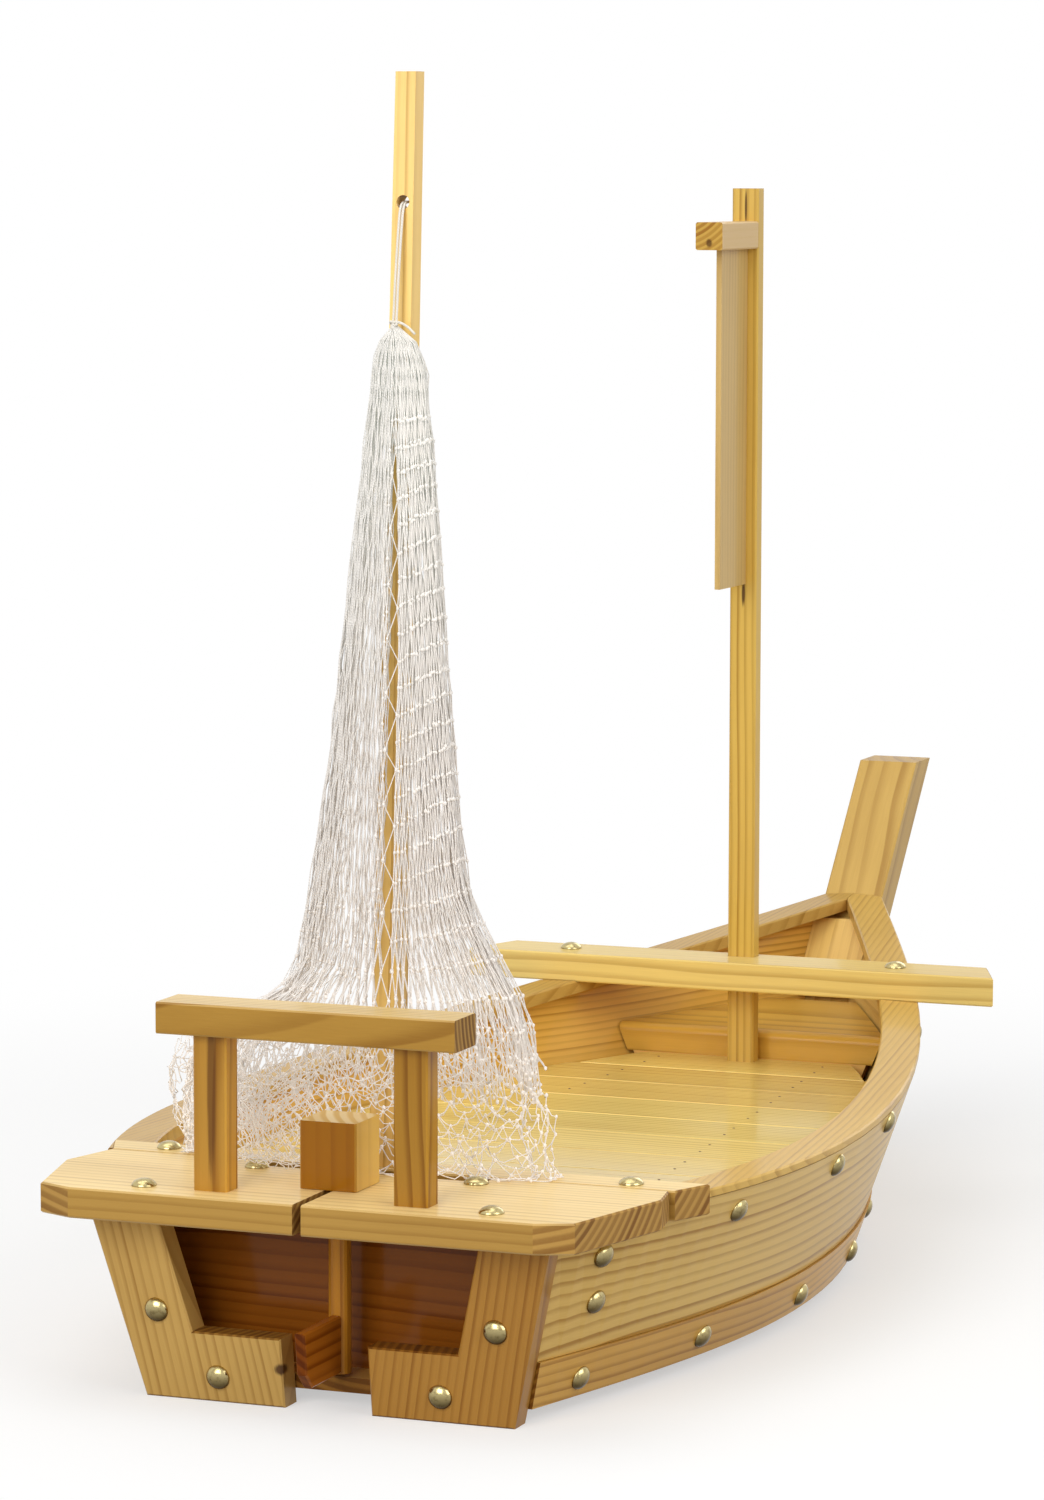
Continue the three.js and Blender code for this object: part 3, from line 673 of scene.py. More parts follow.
@dataclass
class Shell:
    """Points and faces of a mesh while it grows."""

    points: list[Point] = field(default_factory=list)
    faces: list[Face] = field(default_factory=list)

    def add(self, points: Iterable[Sequence[float]], faces: Iterable[Sequence[int]]) -> None:
        """Add a loose part.

        Args:
            points: its points.
            faces: its faces, as numbers of its own points.
        """
        base = len(self.points)
        self.points.extend(tuple(float(c) for c in p) for p in points)
        self.faces.extend(tuple(base + i for i in f) for f in faces)

    @staticmethod
    def _bands(rings: int, sides: int, closed: bool = False) -> list[Face]:
        """Work out the faces between rings of points.

        Args:
            rings: number of rings.
            sides: points in a ring.
            closed: True where the last ring joins the first.

        Returns:
            The faces from each ring to the next.
        """
        faces: list[Face] = []
        for i in range(rings if closed else rings - 1):
            a, b = i * sides, ((i + 1) % rings) * sides
            for k in range(sides):
                n = (k + 1) % sides
                faces.append((a + k, a + n, b + n, b + k))
        return faces

    def turned(self, rings: Sequence[Sequence[Vector]], tip: Vector, foot: bool = False) -> None:
        """Add a round form.

        Args:
            rings: rings of points, from the foot or the rim on.
            tip: point that the last ring closes on.
            foot: True for a face under the first ring.
        """
        sides = len(rings[0])
        top, last = len(rings) * sides, (len(rings) - 1) * sides
        faces = self._bands(len(rings), sides)
        faces += [(last + k, last + (k + 1) % sides, top) for k in range(sides)]
        if foot:
            faces.append(tuple(range(sides - 1, -1, -1)))
        self.add([p for ring in rings for p in ring] + [tip], faces)

    def tube(self, path: Sequence[Vector], radius: float, sides: int, closed: bool = False) -> None:
        """Add a round tube along a path.

        Args:
            path: points that the tube follows.
            radius: half the tube's thickness.
            sides: corners round the tube.
            closed: True where the path ends where it starts.
        """
        count = len(path)
        points: list[Vector] = []
        side = Vector(FIRST_SIDE)
        for i, p in enumerate(path):
            after = path[(i + 1) % count] if closed else path[min(i + 1, count - 1)]
            before = path[i - 1] if closed else path[max(i - 1, 0)]
            ahead = (after - before).normalized()
            side = (side - ahead * side.dot(ahead)).normalized()
            points += circle(p, side, ahead.cross(side), radius, sides)
        faces = self._bands(count, sides, closed)
        if not closed:
            faces.append(tuple(range(sides - 1, -1, -1)))
            faces.append(tuple((count - 1) * sides + k for k in range(sides)))
        self.add(points, faces)

    def dome(self, foot: Vector, out: Vector, radius: float, rise: float, sides: int = 24) -> None:
        """Add a domed nail head with a rolled rim, sunk a little into its wood.

        Args:
            foot: point of the surface under the head.
            out: direction away from the wood.
            radius: half the head's width.
            rise: height of the head.
            sides: corners round the head.
        """
        out = out.normalized()
        side = out.orthogonal().normalized()
        up = out.cross(side)
        rings = [
            circle(foot + out * (rise * high), side, up, radius * across, sides)
            for across, high in DOME
        ]
        self.turned(rings, foot + out * rise, foot=True)

    def bead(self, centre: Vector, radius: float, stretch: float = 1.0) -> None:
        """Add a small knot of twine, round in plan with a tip above and below.

        Args:
            centre: its middle.
            radius: half its width.
            stretch: height over width.
        """
        points = [centre + Vector((0, 0, -radius * stretch))]
        for z, turn in ((-0.5, 0.0), (0.5, 0.5)):
            for k in range(BEAD_SIDES):
                a = math.tau * (k + turn) / BEAD_SIDES
                spoke = (math.cos(a) * BEAD_WAIST, math.sin(a) * BEAD_WAIST, z * stretch)
                points.append(centre + Vector(spoke) * radius)
        points.append(centre + Vector((0, 0, radius * stretch)))
        faces: list[Face] = []
        for k in range(BEAD_SIDES):
            a, b = 1 + k, 1 + (k + 1) % BEAD_SIDES
            c, d = a + BEAD_SIDES, b + BEAD_SIDES
            faces += [(0, b, a), (a, b, c), (b, d, c), (c, d, len(points) - 1)]
        self.add(points, faces)

    def object(self, name: str, material: Owner, smooth: bool = True) -> bpy.types.Object:
        """Make the object of this mesh.

        Args:
            name: the piece's name.
            material: its finish.
            smooth: True for round shading.

        Returns:
            The object, linked to the scene.
        """
        mesh = bpy.data.meshes.new(name)
        mesh.from_pydata(self.points, [], self.faces)
        mesh.validate()
        mesh.polygons.foreach_set("use_smooth", [smooth] * len(mesh.polygons))
        mesh.materials.append(material)
        return place(name, mesh)


def place(name: str, data: bpy.types.ID) -> bpy.types.Object:
    """Make an object and link it to the scene.

    Args:
        name: the object's name.
        data: its mesh, curve, camera or lamp.

    Returns:
        The object.
    """
    made = bpy.data.objects.new(name, data)
    bpy.context.scene.collection.objects.link(made)
    return made


def settle(piece: bpy.types.Object, body: Body) -> bpy.types.Object:
    """Let a new piece ride on its body, and report it.

    Args:
        piece: the piece.
        body: CAD body that it moves with.

    Returns:
        The piece.
    """
    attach(piece, body.value)
    log.info("piece %s rides on %s", piece.name, body.value)
    return piece


def dress(node: str, board: Board, seed: int) -> None:
    """Give a CAD node the finish of a board.

    Args:
        node: name of the CAD node.
        board: the finish.
        seed: number of this board's own growth.
    """
    low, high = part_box(node)
    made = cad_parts[node]
    made.data.materials.clear()
    made.data.materials.append(board.material("pine_" + node, (low + high) * 0.5, seed))
    log.info("node %s dressed", node)


def dress_all(boards: dict[str, Board], first: int) -> None:
    """Dress CAD nodes in order, with numbers of growth from the first one on."""
    for seed, (node, board) in enumerate(boards.items(), first):
        dress(node, board, seed)


def landing(nodes: Sequence[str], start: Vector, way: Vector) -> tuple[Vector, Vector]:
    """First point that a straight line meets on some CAD nodes.

    Args:
        nodes: names of the CAD nodes.
        start: where the line starts.
        way: its direction.

    Returns:
        The point and the surface's direction there.
    """
    best: tuple[float, Vector, Vector] | None = None
    for node in nodes:
        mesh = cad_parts[node].data
        corners = [v.co.copy() for v in mesh.vertices]
        tree = BVHTree.FromPolygons(corners, [tuple(p.vertices) for p in mesh.polygons])
        spot, normal, _, far = tree.ray_cast(start, way.normalized())
        if spot is not None and (best is None or far < best[0]):
            best = (far, spot, normal)
    if best is None:
        raise ValueError(f"no surface of {list(nodes)} lies that way")
    return best[1], best[2] if best[2].dot(way) < 0 else -best[2]


def smooth_path(knots: Sequence[Vector], count: int, fine: int = 24) -> list[Vector]:
    """Even points on a smooth line through some points.

    Args:
        knots: points that the line passes.
        count: number of points wanted.
        fine: steps between two knots while the line is measured.

    Returns:
        The points.
    """
    dense: list[Vector] = []
    last = len(knots) - 1
    for i in range(last):
        a, b = knots[max(i - 1, 0)], knots[i]
        c, d = knots[i + 1], knots[min(i + 2, last)]
        for k in range(fine):
            t = k / fine
            curve = b * 2 + (c - a) * t + (a * 2 - b * 5 + c * 4 - d) * t**2
            dense.append(0.5 * (curve + (b * 3 - a - c * 3 + d) * t**3))
    dense.append(knots[last].copy())
    far = [0.0]
    for a, b in zip(dense, dense[1:]):
        far.append(far[-1] + (b - a).length)
    even: list[Vector] = []
    for n in range(count):
        want = far[-1] * n / (count - 1)
        i = min(max(int(np.searchsorted(far, want)), 1), len(far) - 1)
        t = (want - far[i - 1]) / max(far[i] - far[i - 1], TINY)
        even.append(dense[i - 1].lerp(dense[i], t))
    return even


# Studio.


@dataclass(frozen=True)
class Lamp:
    """Square soft lamp: where it hangs, the point it faces, its side and its watts."""

    name: str
    spot: Point
    aim: Point
    size: float
    power: float

    def build(self) -> None:
        """Hang the lamp."""
        data = bpy.data.lights.new(self.name, "AREA")
        data.shape, data.size, data.energy = "SQUARE", self.size, self.power
        made = place(self.name, data)
        made.location = self.spot
        ahead = Vector(self.aim) - Vector(self.spot)
        made.rotation_euler = ahead.to_track_quat("-Z", "Y").to_euler()


@dataclass
class Studio:
    """Camera, soft lamps, white surround and floor."""

    eye: Point = (0.9316, -2.5722, 0.5607)
    yaw: float = 21.2555
    pitch: float = -6.337
    roll: float = -0.11
    focal_pixels: float = 5325.2
    image_height: float = 1500.0
    sensor: float = 36.0
    clip: Pair = (0.05, 60.0)
    sky: float = 0.42
    floor_bounce: float = 0.50
    floor_tones: tuple[Colour, Colour] = ((0.93, 0.93, 0.925), (0.95, 0.95, 0.945))
    floor_speck: float = 240.0
    floor_white: float = 0.50
    floor_fades: Pair = (0.36, 0.95)
    floor_rings: tuple[float, ...] = (14.0, 4.0, 1.4, 0.6)
    floor_sides: int = 48
    lamps: tuple[Lamp, ...] = (
        Lamp("soft_top", (-0.35, -0.35, 2.5), (0.0, 0.0, 0.1), 2.2, 20.0),
        Lamp("soft_starboard", (2.4, -1.0, 1.4), (0.0, 0.05, 0.2), 1.8, 28.0),
        Lamp("soft_fore", (0.4, 3.2, 1.5), (0.0, 0.0, 0.2), 2.0, 18.0),
        Lamp("soft_aft", (-0.3, -3.2, 1.5), (0.0, 0.0, 0.25), 2.0, 58.0),
    )

    def build(self) -> None:
        """Set up everything round the boat."""
        self._camera()
        self._world()
        self._floor()
        for lamp in self.lamps:
            lamp.build()
        bpy.context.scene.view_settings.view_transform = "Standard"

    def _camera(self) -> None:
        """Place the camera at the photograph's eye point."""
        data = bpy.data.cameras.new("photo_camera")
        data.sensor_fit = "VERTICAL"
        data.sensor_height = self.sensor
        data.lens = self.focal_pixels * self.sensor / self.image_height
        data.clip_start, data.clip_end = self.clip
        made = place("photo_camera", data)
        made.location = self.eye
        turn = (math.radians(angle) for angle in (90 + self.pitch, self.roll, self.yaw))
        made.rotation_euler = Euler(tuple(turn), "XYZ")
        bpy.context.scene.camera = made

    def _world(self) -> None:
        """White surround for the camera and for reflections, softer for light."""
        world = bpy.data.worlds.new("surround")
        bpy.context.scene.world = world
        graph = Graph(world)
        level = graph.seen() * (1 - self.sky) + self.sky
        sockets = {"Color": shade((1.0, 1.0, 1.0)), "Strength": level}
        graph.surface(graph.node("ShaderNodeBackground", {}, sockets), "ShaderNodeOutputWorld")

    def _floor(self) -> None:
        """Pale floor that keeps the shadow and runs out to white."""
        graph = Graph(bpy.data.materials.new("pale_floor"))
        where = graph.place()
        far = graph.length(graph.vectors("MULTIPLY", where, (1, 1, 0)))
        seen = graph.seen()
        near = graph.mix(graph.noise(where, self.floor_speck), *self.floor_tones)
        colour = graph.mix(seen, (self.floor_bounce,) * 3, near)
        matt = graph.node("ShaderNodeBsdfDiffuse", {}, {"Color": colour})
        glow = {"Color": shade((1.0, 1.0, 1.0)), "Strength": 1.0}
        white = graph.node("ShaderNodeEmission", {}, glow)
        white_far = far.ease(*self.floor_fades) * (1 - self.floor_white) + self.floor_white
        shader = graph.node("ShaderNodeMixShader", {}, {0: white_far * seen, 1: matt, 2: white})
        middle, x, y = Vector((0, 0, 0)), Vector((1, 0, 0)), Vector((0, 1, 0))
        shell = Shell()
        shell.turned([circle(middle, x, y, r, self.floor_sides) for r in self.floor_rings], middle)
        shell.object("floor", graph.surface(shader), smooth=False)


# Rigging.


@dataclass
class NetCord:
    """Doubled cord that ties the gathered net to the aft mast, and its two knots.

    The route and the loose tail are in millimetres. A knot's size is half its width
    and half its cord's thickness.
    """

    route: tuple[Pair, ...] = (
        (-336.0, 486.4), (-334.0, 503.0), (-331.4, 520.0), (-329.0, 533.0),
        (-327.9, 537.4), (-325.6, 540.4), (-322.5, 541.0), (-314.0, 541.0),
    )
    steps: int = 28
    apart: float = 0.75
    thick: float = 1.2 * MM
    stopper: Point = (0.0, -0.31275, 0.541)
    stopper_size: Pair = (3.0 * MM, 0.75 * MM)
    tie: Point = (0.0, -0.3370, 0.4858)
    tie_size: Pair = (2.6 * MM, 0.6 * MM)
    tail: tuple[Point, ...] = (
        (0.3, -337.2, 487.0), (4.0, -338.2, 486.6), (7.6, -338.4, 484.6), (10.6, -337.6, 481.6),
    )
    tail_steps: int = 14
    knot_steps: int = 72
    sides: int = 8

    def build(self) -> None:
        pale, worn = (0.86, 0.82, 0.74), (0.66, 0.60, 0.50)
        finish = Twine("cord_cotton", pale=pale, worn=worn).material()
        stopper = self._knot("cord_stopper", self.stopper, self.stopper_size, finish)
        tie = self._knot("net_tie", self.tie, self.tie_size, finish, self.tail)
        for side, name in ((1, "cord_strand_starboard"), (-1, "cord_strand_port")):
            knots = [Vector((side * self.apart, y, z)) * MM for y, z in self.route]
            path = smooth_path(knots, self.steps)
            piece = settle(self._strand(name, path, finish), Body.AFT_MAST)
            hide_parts("cord")
            length = sum((b - a).length for a, b in zip(path, path[1:]))
        log.info("cord tied from %s to %s", tie.name, stopper.name)

    def _strand(self, name: str, path: Sequence[Vector], finish: Owner) -> bpy.types.Object:
        """Lay one strand of the cord.

        Args:
            name: the piece's name.
            path: points that the strand follows.
            finish: its material.

        Returns:
            The strand.
        """
        data = bpy.data.curves.new(name, "CURVE")
        data.dimensions = "3D"
        data.bevel_depth = self.thick / 2
        data.bevel_resolution = 3
        data.use_fill_caps = True
        line = data.splines.new("POLY")
        line.points.add(len(path) - 1)
        for point, p in zip(line.points, path):
            point.co = (*p, 1.0)
        data.materials.append(finish)
        return place(name, data)

    def _knot(
        self, name: str, centre: Point, size: Pair, finish: Owner, tail: Sequence[Point] = ()
    ) -> bpy.types.Object:
        """Tie an overhand knot.

        Args:
            name: the piece's name.
            centre: its middle.
            size: half its width, and half the cord's thickness.
            finish: its material.
            tail: points of a loose end, in millimetres.

        Returns:
            The knot.
        """
        reach, radius = size
        path: list[Vector] = []
        for i in range(self.knot_steps):
            t = math.tau * i / self.knot_steps
            across = math.sin(t) + 2 * math.sin(2 * t)
            high = math.cos(t) - 2 * math.cos(2 * t)
            loop = Vector((across, -1.5 * math.sin(3 * t), high))
            path.append(Vector(centre) + loop * ((reach - radius) / 3.0))
        shell = Shell()
        shell.tube(path, radius, self.sides, closed=True)
        if tail:
            end = smooth_path([Vector(p) * MM for p in tail], self.tail_steps)
            shell.tube(end, radius, self.sides)
        return settle(shell.object(name, finish), Body.AFT_MAST)


@dataclass(frozen=True)
class Panel:
    """One layer of the gathered net, in half meshes to port and to starboard of its slit.

    It is sunk below the outer layer, and a share of its rows has knots on each side. Its
    foot and top are shares of height.
    """

    port: int
    starboard: int
    sunk: float
    knots: Pair
    foot: float = 0.11
    top: float = 0.93
    rows: int = 25
    cap_rows: int = 4
    slack_rows: int = 3
    drape: float = 0.0

    @property
    def columns(self) -> int:
        """Half meshes from one edge to the other, one of them across the slit."""
        return self.port + self.starboard + (1 if self.port and self.starboard else 0)

    def angle(self, column: int, slit: Pair, reach: float) -> float:
        """Angle round the mast of a column, in radians, 0 facing aft.

        Args:
            column: half meshes from the panel's port edge.
            slit: angles of the slit's port and starboard side.
            reach: angle where the panel ends on both sides.

        Returns:
            The angle.
        """
        if self.port and column <= self.port:
            return -reach + (slit[0] + reach) * column / self.port
        first = self.columns - self.starboard
        return slit[1] + (reach - slit[1]) * (column - first) / self.starboard


@dataclass
class DeckNet:
    """Knotted twine net gathered in three layers round the aft mast, its foot spread on deck.

    Lengths are in millimetres, except for flat, the net's size laid flat in metres. The
    net goes round the mast by the angle reach each way, in degrees. A share of height
    runs from the hem, 0, to the neck, 1. A skirt is how far the foot spreads, the share
    of height where that ends, and how sharply. Where a value differs from side to side,
    its number to port stands before the one to starboard.
    """

    hem: float = 101.6
    neck: float = 481.0
    deck: float = 101.0
    mast_foot: float = -346.6
    mast_lean: float = 0.05766
    mast_gap: float = 3.5
    reach: float = 105.0
    neck_reach: float = 9.0
    hang: Pair = (35.0, 0.9)
    flare: Pair = (12.0, 0.3)
    port_skirt: Point = (46.0, 0.185, 8.0)
    starboard_skirt: Point = (24.0, 0.270, 5.0)
    depth: float = 36.0
    slit: float = 4.8
    slit_angle: float = 0.1
    slit_lean: Pair = (0.39, 2.9)
    slit_closes: float = 0.35
    rows_rise: Pair = (0.1, 0.5)
    rise_starts: Pair = (0.20, 5.0)
    rise_stops: Pair = (0.93, 8.0)
    cut_foot: float = 9.0
    rows_waver: Pair = (3.2, 1.0)
    waver_grows: float = 9.0
    outer_off: float = 1.0
    pleat: Pair = (0.03, 10.0)
    loose: Pair = (0.6, 0.5)
    crumple_low: float = 0.17
    crumple_pitch: Pair = (27.0, 9.0)
    crush: Pair = (5.0, 11.0)
    crease: Pair = (4.0, 0.3)
    crush_shift: Pair = (3.0, 1.0)
    crease_shift: Pair = (7.0, 2.0)
    crumple_deep: float = 0.7
    knot_over: float = 0.2
    gate_half: float = 24.0
    aft_limit: Pair = (-380.0, -398.0)
    cap_top: Point = (0.0, -336.8, 485.2)
    cap_loose: float = 1.2
    twine: float = 0.60
    twine_sides: int = 3
    slack: float = 1.0
    bead: float = 0.80
    bead_spread: Pair = (0.8, 1.2)
    bead_stretch: float = 1.25
    loop_out: Pair = (2.0, 6.5)
    loop_up: Pair = (0.1, 2.5)
    loop_steps: int = 5
    flat: Pair = (0.80, 0.39)
    covered: float = 0.302
    seed: int = 7
    panels: tuple[Panel, ...] = (
        Panel(54, 60, 0.0, (0.25, 1.0)),
        Panel(52, 0, 2.3, (0.20, 0.0)),
        Panel(0, 56, 2.3, (0.0, 0.30)),
        Panel(48, 0, 4.4, (0.15, 0.0)),
        Panel(0, 54, 4.4, (0.0, 0.20)),
        Panel(34, 18, 0.0, (1.0, 1.0), 0.0, 0.19, 15, 0, 15, 1.8),
        Panel(36, 16, 4.0, (1.0, 1.0), 0.0, 0.18, 14, 0, 14, 1.8),
    )
    folds: tuple[tuple[Point, ...], ...] = (
        ((-74, -368, 146), (-50, -379, 139), (-20, -379, 150),
         (8, -377, 143), (34, -375, 152), (58, -366, 146)),
        ((-90, -354, 107), (-104, -347, 119), (-107, -346, 136),
         (-99, -350, 151), (-82, -358, 158), (-64, -366, 153)),
        ((-86, -366, 110), (-62, -378, 116), (-38, -381, 109), (-14, -380, 114)),
        ((-98, -352, 128), (-80, -362, 132), (-62, -372, 127), (-46, -378, 133)),
        ((-80, -370, 140), (-62, -377, 131), (-44, -380, 124), (-28, -380, 118)),
        ((-74, -372, 122), (-58, -378, 128), (-40, -380, 136), (-22, -379, 140)),
        ((-92, -360, 118), (-74, -370, 126), (-54, -377, 120), (-34, -380, 127), (-12, -380, 121)),
        ((-100, -350, 143), (-84, -360, 147), (-66, -370, 142), (-46, -378, 147), (-26, -379, 143)),
        ((-88, -362, 134), (-70, -372, 136), (-50, -379, 130), (-30, -380, 134), (-8, -380, 130)),
    )
    fold_columns: int = 30
    fold_rows: int = 6
    fold_bulge: Pair = (3.6, 17.0)
    fold_lean: Point = (18.0, 0.4, 5.0)
    fold_drape: float = 0.6
    fold_over: float = 0.3
    fold_limit: float = -381.0
    shifts: tuple[Point, ...] = ((2.4, 19.6, -7.3), (14.2, -3.1, 8.8), (-12.5, 6.6, 21.9))

    def build(self) -> None:
        luck = random.Random(self.seed)
        shell = Shell()
        for panel in self.panels:
            self._hang(shell, panel, luck)
        for fold in self.folds:
            self._crease(shell, fold, luck)
        # The net's twine carries a painted glow.
        net = shell.object("knotted_net", Twine("net_cotton", glow=0.16, aloft=0.25).material())
        settle(net, Body.AFT_MAST)
        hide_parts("net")

    def _hang(self, shell: Shell, panel: Panel, luck: random.Random) -> None:
        """Add one hanging layer and the loops of its hem.

        Args:
            shell: mesh that it joins.
            panel: the layer.
            luck: source of the net's unevenness.
        """
        last = panel.rows + panel.cap_rows
        knots: dict[tuple[int, int], Vector] = {}
        for i in range(last + 1):
            for j in range(i % 2, panel.columns + 1, 2):
                knots[(i, j)] = self._spot(i, j, panel, luck)
        self._weave(shell, knots, (last, panel.columns, panel.slack_rows), panel.drape, luck)
        for (i, _), p in knots.items():
            if i < panel.rows * panel.knots[1 if p.x > 0 else 0]:
                size = self.bead * MM * luck.uniform(*self.bead_spread)
                shell.bead(p, size, self.bead_stretch)
        if panel.foot > 0:
            return
        for j in range(0, panel.columns - 1, 2):
            a, b = knots[(0, j)], knots[(0, j + 2)]
            out = Vector((a.x + b.x, 2 * (a.y - self.mast_foot * MM), 0.0)).normalized()
            mid = (a + b) / 2 + out * luck.uniform(*self.loop_out) * MM
            mid.z = (self.hem + luck.uniform(*self.loop_up)) * MM
            loop = smooth_path([a, mid, b], self.loop_steps)
            shell.tube(loop, self.twine * MM / 2, self.twine_sides)

    def _crease(self, shell: Shell, fold: Sequence[Point], luck: random.Random) -> None:
        """Add a loose fold of the skirt.

        Args:
            shell: mesh that it joins.
            fold: points along the fold, in millimetres.
            luck: source of unevenness.
        """
        path = smooth_path([Vector(p) for p in fold], self.fold_columns)
        rows = self.fold_rows
        deep, tall = self.fold_bulge
        pitch, drift, lean = self.fold_lean
        knots: dict[tuple[int, int], Vector] = {}
        for i in range(rows + 1):
            across = i / rows - 0.5
            bulge = Vector((0.0, deep * (4 * across * across - 1), across * tall))
            for j in range(i % 2, len(path), 2):
                waver = self._ripple(path[j] / pitch + Vector((0.0, 0.0, i * drift)))
                spot = path[j] + bulge + waver * lean
                spot.y = max(spot.y, self.fold_limit)
                spot.z = max(spot.z, self.hem + self.fold_over)
                knots[(i, j)] = spot * MM
        self._weave(shell, knots, (rows, len(path) - 1, rows), self.fold_drape, luck)

    def _weave(
        self,
        shell: Shell,
        knots: dict[tuple[int, int], Vector],
        size: tuple[int, int, int],
        drape: float,
        luck: random.Random,
    ) -> None:
        """Run every strand from knot to knot, turning back at the edges.

        Args:
            shell: mesh that the strands join.
            knots: places of the knots by row and column.
            size: last row, last column, and the rows whose strands hang slack.
            drape: how far a slack strand sags, in millimetres.
            luck: source of the slack.
        """
        rows, columns, slack_rows = size
        for start in range(0, columns + 1, 2):
            for way in (1, -1):
                if (start == 0 and way < 0) or (start == columns and way > 0):
                    continue
                line: list[Vector] = []
                for i in range(rows + 1):
                    j = (start + way * i) % (2 * columns)
                    p = knots[(i, min(j, 2 * columns - j))]
                    if line and i <= slack_rows:
                        slack = self._random(self.slack, luck)
                        slack.z -= drape
                        mid = (line[-1] + p) * 0.5 + slack * MM
                        mid.z = max(mid.z, self.hem * MM)
                        line.append(mid)
                    line.append(p)
                shell.tube(line, self.twine * MM / 2, self.twine_sides)

    @staticmethod
    def _random(reach: float, luck: random.Random) -> Vector:
        """Vector with three numbers between -reach and reach."""
        return Vector([luck.uniform(-reach, reach) for _ in range(3)])

    def _ripple(self, place: Vector) -> Vector:
        """Smooth unevenness at a place, the same in every run."""
        return Vector([noise.noise(place + Vector(shift)) for shift in self.shifts])

    def _girth(self, share: float, a: float) -> float:
        """How far the net stands out at a height and an angle, in millimetres.

        Args:
            share: share of height.
            a: angle round the mast.

        Returns:
            The reach to the side.
        """
        side = (1 + math.sin(a)) / 2
        out = self.neck_reach + self.hang[0] * (1 - share) ** self.hang[1]
        out += self.flare[0] * math.exp(-((share / self.flare[1]) ** 2))
        ends = zip(self.port_skirt, self.starboard_skirt)
        skirt, low, power = (p + (s - p) * side for p, s in ends)
        return out + skirt * math.exp(-((share / low) ** power))

    def _slit(self, share: float) -> Pair:
        """Where the net parts on its aft side.

        Args:
            share: share of height.

        Returns:
            Angles of the slit's port and starboard side, in radians.
        """
        wide = self._girth(share, self.slit_angle)
        lean, shift = self.slit_lean
        left = lean * wide / (1 + wide / self.depth) - shift
        gap = self.slit * min(1.0, (1 - share) / self.slit_closes)
        return math.asin(left / wide), math.asin((left + gap) / wide)

    def _spot(self, i: int, j: int, panel: Panel, luck: random.Random) -> Vector:
        """Place of one knot.

        Args:
            i: row from the hem.
            j: column from the panel's port edge.
            panel: the layer.
            luck: source of unevenness.

        Returns:
            The place in metres.
        """
        share = panel.foot + (panel.top - panel.foot) * min(i, panel.rows) / panel.rows
        a = panel.angle(j, self._slit(share), math.radians(self.reach - panel.sunk))
        out = self._girth(share, a) * math.sin(a)
        side = 1 if out > 0 else 0
        (start, grows), (stop, fades) = self.rise_starts, self.rise_stops
        rise = max(0.0, min(1.0, (share - start) * grows, (stop - share) * fades))
        waver = self.cut_foot if i == 0 and panel.foot > 0 else self.rows_waver[side]
        share += self.rows_rise[side] * abs(out) * rise / (self.neck - self.hem)
        wide = self._girth(share, a)
        deep = wide / (1 + wide / self.depth)
        fold = 1 + self.pleat[0] * math.cos(self.pleat[1] * a)
        off = self.outer_off + luck.uniform(-self.loose[0], self.loose[0]) - panel.sunk
        z = self.hem + (self.neck - self.hem) * share
        z += luck.uniform(-waver, waver) * min(1.0, self.waver_grows * share)
        axis = self.mast_foot + (z - self.deck) * self.mast_lean
        x = (wide * fold + off) * math.sin(a) + luck.uniform(-self.loose[1], self.loose[1])
        y = axis - self.mast_gap - (deep * fold + off) * math.cos(a)
        spot = self._crumpled(Vector((x, y, z)), share, panel)
        if i > panel.rows:
            t = (i - panel.rows) / panel.cap_rows
            top = Vector(self.cap_top) + self._random(self.cap_loose, luck)
            spread = math.sqrt(max(0.0, 1 - t * t))
            y, z = top.y + (spot.y - top.y) * spread, spot.z + (top.z - spot.z) * t
            spot = Vector((spot.x * spread, y, z))
        return spot * MM

    def _crumpled(self, spot: Vector, share: float, panel: Panel) -> Vector:
        """Crumple the net near the deck, and keep it over the deck and off the gate.

        Args:
            spot: smooth place of a knot, in millimetres.
            share: its share of height.
            panel: the layer.

        Returns:
            The crumpled place.
        """
        low = math.exp(-((share / self.crumple_low) ** 2))
        coarse, fine = self.crumple_pitch
        crush = self.crush[0 if panel.foot > 0 else 1] * low
        crease = self.crease[0] * low + self.crease[1]
        shift = Vector((panel.sunk, *self.crush_shift))
        crumple = self._ripple(spot / coarse + shift) * crush
        shift = Vector((self.crease_shift[0], panel.sunk, self.crease_shift[1]))
        crumple += self._ripple(spot / fine + shift) * crease
        spot = spot + Vector((crumple.x, crumple.y * self.crumple_deep, crumple.z))
        spot.z = max(spot.z, self.hem + self.knot_over)
        spot.y = max(spot.y, self.aft_limit[0 if abs(spot.x) < self.gate_half else 1])
        return spot


# Hull.


